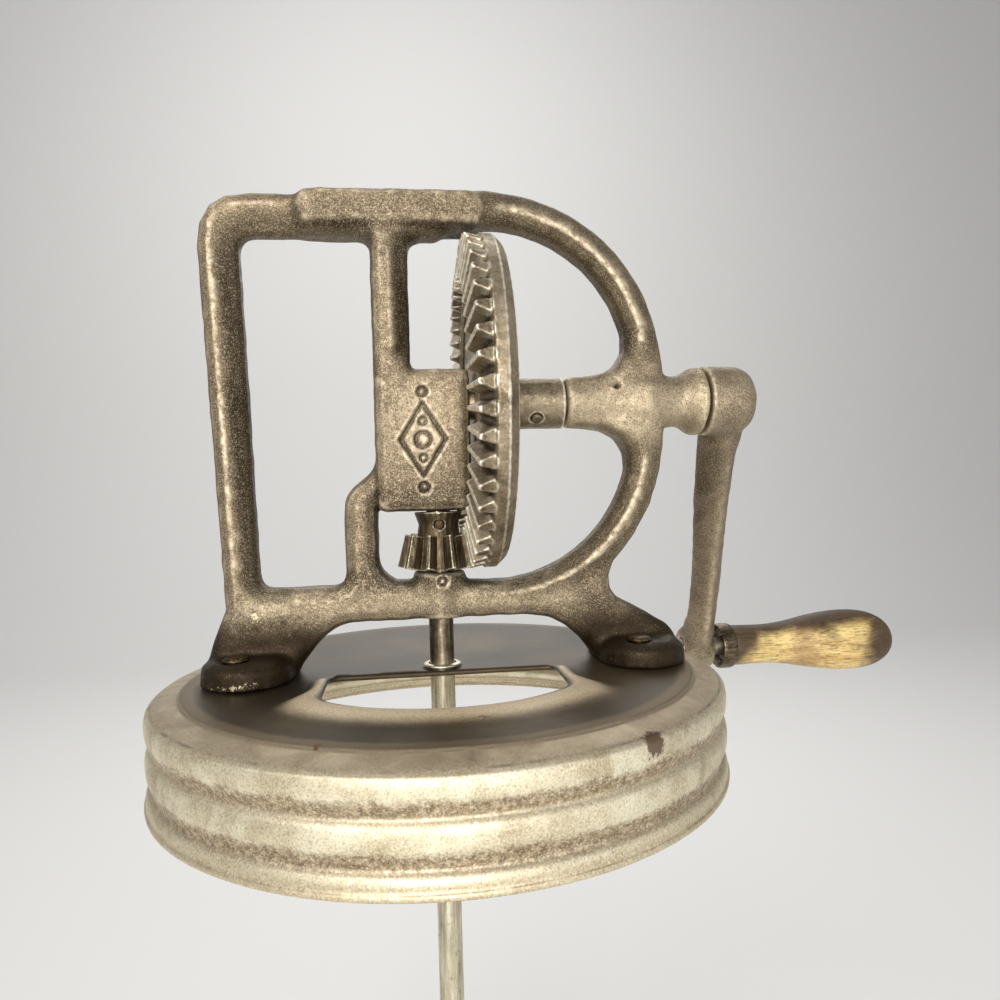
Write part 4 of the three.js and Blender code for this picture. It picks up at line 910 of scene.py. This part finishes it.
def true_arcs(x, h):
    """The arch's flat facets taken back to arcs"""
    dx, dh = x - ARCH_X, h - np.clip(h, ARCH_LOW, ARCH_HIGH)
    r, turn = np.hypot(dx, dh), np.arctan2(np.abs(dh), dx)

    def stretch(step):
        off = (pi / 2 - turn) % step - step / 2
        return np.cos(off) / cos(step / 2) - 1

    inner = falling(r, 34.5, 36.8)
    grow = stretch(INNER_FACET) * inner * (turn > INNER_START)
    grow = (grow + stretch(OUTER_FACET) * (1 - inner) * (dh > 0)) * ((dx > 0) & (dh != 0) & (r > 31))
    return x + dx * grow, h + dh * grow


def by_boss(x, h, start):
    """1 on the arch beside the bearing boss"""
    return falling(np.abs(h - BOSS_H), 8.0, 15.0) * rising(x, start, 30)


def off_ring(x, h, centre, radius):
    """Distance from a ring that is drawn on the front"""
    return np.abs(np.hypot(x - centre[0], h - centre[1]) - radius)


def shape_casting(co):
    y = co[:, 1].copy()
    x, h = true_arcs(co[:, 0], co[:, 2] - DISC)
    inward = from_outer_line(x, h) / BAR
    turn = rising(x, 8.0, 18.0)
    crest = CREST_SHARE + 0.16 * turn
    flank = rising(inward, crest, 1.12) * falling(inward, 1.5, 1.9) * (1 - 0.25 * turn)
    clear = rising(h, 13, 24) * (1 - rising(x, -30.5, -26.0) * falling(x, 12.5, 17.5))
    clear *= 1 - by_boss(x, h, 26)
    y *= 1 - (1 - THINNEST) * flank * clear
    y *= 1 - 0.30 * falling(inward, 0.05, crest + 0.10) * turn * clear
    # the boss swells above and below the shaft
    off_shaft = np.abs(h - BOSS_H)
    y *= 1 + 0.17 * hump(off_shaft, 6.5, 3.2) * rising(x, 36, 41) * falling(x, 52, 54) * (off_shaft > 2.0)
    # a lozenge with beads, cut in the block's face
    px, ph = x - BLOCK_X, h - BLOCK_H
    cut = 0.60 * falling(np.abs(np.abs(px) / 4.8 + np.abs(ph) / 7.6 - 1), 0.05, 0.15)
    for bead_h, bead_r in BEADS:
        cut = np.maximum(cut, 0.65 * falling(off_ring(px, ph, (0, bead_h), bead_r * 0.8), 0.15, 0.55))
    y += cut * rising(-y, 5.3, 5.8) * (np.abs(px) < 9) * (np.abs(ph) < 14)
    # a small ringed hole on the boss that the rod runs through
    y += 0.55 * falling(off_ring(x, h, PIN_HOLE, PIN_HOLE_R), 0.15, 0.5) * (y < -4.5) * (h < 24)
    # the post falls away to its right
    on_post = (np.abs(x - POST_X) < 4.2) * rising(h, 67, 70) * (h < 94)
    y *= 1 - 0.30 * rising(x, -9.6, -5.4) * on_post
    # a raised lip round the boss's oil hole
    y -= 0.35 * falling(off_ring(x, h, OIL_HOLE, OIL_LIP_R), 0.2, 0.9) * (y < 0)
    return np.column_stack([x, y, h + DISC])


# Bare streaks on the front, the two on the collar a painted highlight along its edge: from one [x, height
# over the disc] to another, with a radius and a strength
STREAKS = (((-39.2, 14.0), (-38.4, 13.2), 1.0, 1.15), ((59.3, 64.5), (59.2, 60.5), 0.8, 1),
           ((59.6, 60.0), (59.7, 53.0), 0.5, 1), ((-47.0, 1.2), (-37.5, 1.3), 0.85, 0.68))
# Dark spots beside them, each with its radius
SPOTS = ((-38.9, 10.6, 2.2), (-33.3, 12.0, 1.3), (-31.3, 10.6, 0.9))


def casting_stains(co):
    """Brown stain with painted shade on the feet; painted shade on the inner flanks, along the lower bar's
    edges, under the plate, in the bays and down the post's right side; polish with painted highlight round
    the boss, on the block and along the lower bar; bare streaks, the two on the collar a painted highlight
    """
    x, y, h = co.T[0], co.T[1], co.T[2] - DISC
    inward = from_outer_line(x, h) / BAR
    # painted shade: the inner flanks darker, where the bars slope away from the light
    flank = rising(inward, 0.42, 0.62) * falling(inward, 1.5, 1.9) * rising(h, 14, 24)
    flank *= 1 - by_boss(x, h, 24)
    flank *= (1 - 0.7 * rising(h, 86, 93)) * (1 - 0.75 * rising(x, 8, 16))
    # painted shade along the lower bar's top and bottom edges
    bar_edges = (1 - hump(h, 15.0, 3.8)) * rising(h, 8, 11) * (h < 23) * falling(np.abs(x + 4), 28, 34)
    # painted shade in the bay by the pinion and down the corner at its right
    bay = hump(np.hypot(outside(x, *BAY_X), outside(h, *BAY_H)), 0, 2.6)
    corner = hump(x, 7.6, 1.8) * rising(h, 34, 40) * (h < 66) * 0.8
    # painted shade under the plate
    under = rising(h, 95.0, 95.8) * falling(h, 96.4, 97.2) * (x > PLATE_X[0]) * (x < PLATE_X[1])
    # painted shade down the post's right side
    post = np.maximum(rising(x, -9.4, -7.4), falling(x, -13.2, -11.4) * 0.6)
    post *= (np.abs(x - POST_X) < 5.5) * rising(h, 64, 68) * (h < 94.5)
    dirt_and_shade = np.clip(bay + corner, 0, 1) * (y > -9)
    # polish round the hub with painted highlight, and painted highlight on the block and along the middle of
    # the lower bar
    by_hub = hump(h, 55.5, 6.5) * rising(x, 22, 30)
    on_block = 0.7 * hump(x, BLOCK_X, 7) * hump(h, 54, 9)
    low_bar = 0.45 * hump(h, 14.5, 3.0) * falling(x, 28, 34)
    bare = np.zeros(len(co))
    here = np.column_stack([x, h])
    for start, end, radius, strength in STREAKS:
        start, end = np.array(start), np.array(end)
        t = np.clip((here - start) @ (end - start) / ((end - start) ** 2).sum(), 0, 1)
        far = np.linalg.norm(here - start - t[:, None] * (end - start), axis=1)
        bare = np.maximum(bare, strength * hump(far, 0, radius) * (y < 0))
    # brown stain on the feet, darkened further as painted shade
    stain = falling(h, 8.0, 15.5) * rising(np.abs(x - 1.6), 24, 31)
    for spot_x, spot_h, radius in SPOTS:
        stain = np.maximum(stain, 0.9 * hump(np.hypot(x - spot_x, h - spot_h), 0, radius) * (y < 0))
    return {"stain": stain, "flank": np.maximum.reduce([flank, 0.65 * bar_edges, under, dirt_and_shade, post]),
            "polish": np.maximum.reduce([by_hub, on_block, low_bar]), "bare": bare}


# Places where the casting's parts run into each other: x, height over the disc, and the two half widths
JOINS = ((-28.0, 99.5, 5.5, 8.0), (12.5, 99.5, 6.0, 8.0), (-9.0, 66.0, 6.0, 4.0), (-9.0, 94.5, 6.5, 3.5),
         (8.0, 96.0, 8.0, 4.0))


def casting_melt(co):
    """Where the casting's parts run into each other, and where the boss and the pads are round"""
    x, h = co.T[0], co.T[2] - DISC

    def near(cx, ch, rx, rh):
        return falling(np.hypot((x - cx) / rx, (h - ch) / rh), 0.7, 1.0)

    boss = rising(x, 27, 30) * falling(np.abs(h - BOSS_H), 9.0, 14.0) * 0.8
    under_plate = rising(h, 91, 93) * falling(h, 97, 99) * (x > -30) * (x < 16) * 0.9
    rod_boss = near(0.4, 15.0, 9.5, 9.5) * (1 - near(*PIN_HOLE, 2.2, 2.2)) * 0.9
    feet = falling(h, 9, 14) * 0.6 * rising(h, 0.5, 3.0)
    return np.maximum.reduce([boss, under_plate, rod_boss, feet] + [near(*join) for join in JOINS])


recast("frame_casting", "casting", 0.40, 12, "head", frame_look, 0.16, 3.2,
       shape_casting, casting_stains, casting_melt)


# Crank arm: a ridge runs down its front face, nearer the right side

ARM_TOP, ARM_END = np.array((67.35, 0.0, AXIS)), np.array((76.6, GRIP_Y, GRIP_Z))
ARM_HALF, ARM_TAPER = 5.2, 1.6
RIDGE = 0.3


def shape_arm(co):
    span = ARM_END - ARM_TOP
    length = np.hypot(*span[1:])
    down = span[1:] / length
    front = np.array((down[1], -down[0]))
    s = (co[:, 1:] - ARM_TOP[1:]) @ down
    depth = (co[:, 1:] - ARM_TOP[1:]) @ front
    share = s / length
    across = (co[:, 0] - (ARM_TOP[0] + span[0] * share)) / (ARM_HALF - ARM_TAPER * share)
    slope = np.where(across < RIDGE, (RIDGE - across) * 0.34, (across - RIDGE) * 0.5)
    clear = rising(s, 8.5, 13) * falling(s, length - 12, length - 8)
    moved = depth * (1 - np.clip(slope, 0, 0.6) * clear)
    return np.column_stack([co[:, 0], co[:, 1:] + (moved - depth)[:, None] * front])


def arm_melt(co):
    """The hub's dome, the stem and the eye run soft; the hub's flat face stays"""
    return rising(co[:, 0], 62.2, 64.5)


recast("crank_arm", "arm_casting", 0.38, 14, "crank", arm_look, 0.14, 3.0, shape_arm,
       melt=arm_melt)


# Large gear: each tooth's heel runs on over the rim as a round-ended tab

TEETH, RIM_R = 46, 36.15
TAB_WIDE, TAB_LONG, TAB_RISE = 3.1, 1.7, 0.25
HEEL = 2.2  # from the tips' face to the teeth's heels


def tooth_tab(co):
    """How far each point is outside its tooth's tab, from the axis, past the heel and off the tooth's line"""
    y, z = co[:, 1], co[:, 2] - AXIS
    r, turn, x = np.hypot(y, z), np.arctan2(z, y), co[:, 0]
    rim = r > RIM_R - 1.4
    tips = rim & (x < x[rim].min() + 0.8)
    phase = np.angle(np.exp(1j * TEETH * turn[tips]).sum()) / TEETH
    pitch = tau / TEETH
    off = ((turn - phase + pitch / 2) % pitch - pitch / 2) * RIM_R
    past = x - (x[rim].min() + HEEL)
    tab = np.hypot(off, np.maximum(0, past - TAB_LONG + TAB_WIDE / 2)) - TAB_WIDE / 2
    return tab, r, past, off


def shape_gear(co):
    tab, r, _, _ = tooth_tab(co)
    rise = TAB_RISE * falling(tab, -0.3, 0.25) * rising(r, RIM_R - 1.6, RIM_R - 0.6)
    scale = 1 + rise / np.maximum(r, 1)
    return np.column_stack([co[:, 0], co[:, 1] * scale, (co[:, 2] - AXIS) * scale + AXIS])


def gear_stains(co):
    """Where the gear isn't its plain rim, the painted highlight outlines round the tabs on it, and a pit in
    each tooth's heel
    """
    tab, r, past, off = tooth_tab(co)
    # painted highlight outline round each tab
    outline = hump(tab, -0.1, 0.30) * rising(past, -1.6, -0.6) * (r > RIM_R - 2.0)
    rim = rising(r, RIM_R - 1.8, RIM_R - 1.0) * rising(past, -0.7, -0.2) * falling(past, 3.0, 3.6)
    face = falling(tab, -0.5, -0.1) * rising(past, -1.6, -1.1) * rising(r, RIM_R - 3.0, RIM_R - 2.0)
    pit = hump(np.hypot(off, past + 0.9), 0, 0.5) * (r > RIM_R - 3)
    return {"off_rim": 1 - np.maximum(rim, face), "outline": outline, "pit": pit}


recast("drive_gear", "gear_casting", 0.26, 3, "crank", gear_look, 0.07, 1.4, shape_gear,
       gear_stains)
recast("pinion", "pinion_casting", 0.16, 2, "dasher", pinion_look, 0.03, 1.2)

shaft_low, shaft_high = limits("crank_shaft")
turned("shaft_bar", section(0, 3.4, shaft_low[0], shaft_high[0]), 0.4, 64, "crank", shaft_look,
       ("crank_shaft",), "X", (0, 0, AXIS))
for pin, pin_look in (("gear_pin", shaft_look), ("pinion_pin", dark_look), ("collar_pin", dark_look)):
    kept(pin, pin_look, 0.15)


# Grip: turned wood on a steel pin, with a ferrule at its foot

GRIP_AXIS = (0, GRIP_Y, GRIP_Z)
GRIP_START, GRIP_END = 87.45, 136.5
# Radius and station of the wood, from its foot to its tip
GRIP = [(5.75, 0.0), (5.85, 1.5), (5.75, 5.0), (5.7, 9.0), (5.85, 12.5), (6.3, 16.5), (7.05, 20.5),
        (7.9, 25.0), (8.6, 30.0), (8.93, 35.0), (8.75, 39.5), (8.0, 43.5), (6.6, 46.7), (5.2, 48.4),
        (4.6, 48.9)]
FERRULE = [(2.9, 84.9), (5.2, 84.9, 0.3), (5.75, 83.5, 0.3), (6.1, 83.0, 0.15), (6.4, 83.15, 0.2),
           (6.6, 84.2, 0.5), (6.55, 86.4, 0.4), (6.3, 87.2, 0.2), (5.95, 87.1), (5.85, 85.4), (2.9, 85.4)]
PIN = [(0, 72.15), (2.6, 72.15, 0.4), (2.6, 134.3), (3.85, 134.3, 0.2), (3.6, 135.3, 0.5), (2.2, 135.8, 0.5),
       (0, 135.8)]


def grip_profile(steps=4):
    """The wood's bored profile, with a soft curve through the points of its outer side"""
    last = len(GRIP) - 1
    outer = []
    for i in range(last):
        p = [GRIP[max(0, min(last, i + k))] for k in (-1, 0, 1, 2)]
        for t in (s / steps for s in range(steps)):
            r, s = (0.5 * (2 * p[1][k] + (p[2][k] - p[0][k]) * t
                           + (2 * p[0][k] - 5 * p[1][k] + 4 * p[2][k] - p[3][k]) * t * t
                           + (3 * p[1][k] - p[0][k] - 3 * p[2][k] + p[3][k]) * t ** 3) for k in (0, 1))
            outer.append((r, GRIP_START + s))
    outer.append((GRIP[-1][0], GRIP_START + GRIP[-1][1]))
    return [(2.9, 85.6), (5.5, 85.6), (5.6, 87.4)] + outer + [(4.2, GRIP_END), (4.15, 134.0), (2.9, 134.0)]


def grip_wave(a, s):
    return 0.05 * sin(2 * a + 1.0) + 0.04 * noise.noise(Vector((cos(a), sin(a), s / 6)))


turned("grip_wood", grip_profile(), 0, 96, "grip", grip_look, ("wooden_grip",), "X",
       GRIP_AXIS, True, grip_wave)
turned("ferrule_cup", FERRULE, 0.15, 80, "grip", ferrule_look, ("grip_ferrule",), "X",
       GRIP_AXIS, True)
turned("grip_rivet", PIN, 0.15, 48, "crank", fitting_look, ("grip_pin",), "X", GRIP_AXIS)


# Rod and dasher

ROD_R, DASHER_BORE = 2.7, 2.95
turned("rod_bar", section(0, ROD_R, -199.6, 52.3), 0.6, 64, "dasher", rod_look,
       ("dasher_rod",))
turned("collar_ring", section(DASHER_BORE, 6.0, -142.2, -135.7), 0.5, 64, "dasher", fitting_look,
       ("dasher_collar",), closed=True)
turned("washer_ring", section(DASHER_BORE, 8.5, -191.9, -190.7), 0.3, 64, "dasher", fitting_look,
       ("dasher_washer",), closed=True, steps=3)
kept("dasher_nut", fitting_look, 0.4)
for board in ("dasher_board_upper", "dasher_board_lower"):
    kept(board, board_look, 0.8)


# Stage, lights and camera, in metres

FLOOR_Z, FRONT_Y, BACK_Y, STAGE_HALF, STAGE_HIGH, SWEEP = -0.21, -3.0, 1.5, 3.0, 2.4, 0.5
CAMERA_PLACE, SENSOR, LENS = (-0.00613, -0.16764, 0.04136), 36, 27.07


def build_stage():
    """A floor that sweeps up into a back wall"""
    line = [(FRONT_Y, FLOOR_Z), (BACK_Y - SWEEP, FLOOR_Z)]
    for i in range(1, 17):
        a = pi / 2 * i / 16
        line.append((BACK_Y - SWEEP + SWEEP * sin(a), FLOOR_Z + SWEEP * (1 - cos(a))))
    line.append((BACK_Y, STAGE_HIGH))
    verts = [(x, y, z) for y, z in line for x in (-STAGE_HALF, STAGE_HALF)]
    mesh = bpy.data.meshes.new("stage_sweep")
    mesh.from_pydata(verts, [], [(2 * i, 2 * i + 1, 2 * i + 3, 2 * i + 2) for i in range(len(line) - 1)])
    smooth(mesh)
    paint_look = Look("stage_paint", 0.0)
    paint_look.set("Base Color", (0.84, 0.835, 0.82, 1))
    paint_look.set("Roughness", 0.8)
    mesh.materials.append(paint_look.mat)
    sweep = linked("stage_sweep", mesh)


def lamp(name, place, aim, size, power, colour=(1, 1, 1)):
    data = bpy.data.lights.new(name, "AREA")
    data.shape = "SQUARE"
    data.size = size
    data.energy = power
    data.color = colour
    light = linked(name, data)
    light.location = place
    light.rotation_euler = (Vector(aim) - Vector(place)).to_track_quat("-Z", "Y").to_euler()


def build_world():
    world = bpy.data.worlds.new("studio")
    bpy.context.scene.world = world
    world.use_nodes = True
    back = world.node_tree.nodes["Background"]
    back.inputs["Color"].default_value = (0.80, 0.80, 0.80, 1)
    back.inputs["Strength"].default_value = 0.42


def build_camera():
    turn, down, roll = radians(-6.83), radians(0.67), radians(-1.61)
    ahead = Vector((-sin(turn) * cos(down), cos(turn) * cos(down), -sin(down)))
    right = Vector((cos(turn), sin(turn), 0))
    up = right.cross(ahead)
    side = right * cos(roll) + up * sin(roll)
    head = -right * sin(roll) + up * cos(roll)
    data = bpy.data.cameras.new("camera")
    data.sensor_width, data.lens = SENSOR, LENS
    data.clip_start, data.clip_end = 0.005, 20
    camera = linked("camera", data)
    camera.matrix_world = Matrix.Translation(CAMERA_PLACE) @ Matrix((
        (side.x, head.x, -ahead.x), (side.y, head.y, -ahead.y), (side.z, head.z, -ahead.z))).to_4x4()
    bpy.context.scene.camera = camera


build_stage()
build_world()
build_camera()
lamp("key", (-0.10, -0.66, 0.17), (0, 0, 0.04), 0.30, 2.95, (1.0, 0.985, 0.96))
lamp("top", (-0.32, -0.50, 0.50), (0, 0, 0.04), 0.40, 1.9, (1.0, 0.99, 0.97))
lamp("fill", (0.55, -0.50, 0.10), (0, 0, 0.03), 0.60, 0.9, (0.98, 0.99, 1.0))
lamp("low", (0.0, -0.62, -0.12), (0, 0, 0.0), 0.34, 0.62, (1.0, 0.99, 0.96))
lamp("back", (0.1, 0.55, 0.50), (0, 0, 0.02), 0.60, 1.4)
lamp("wash", (0.0, 0.50, 0.95), (0, 1.5, 0.25), 0.80, 6.0)
bpy.context.scene.view_settings.view_transform = "Standard"
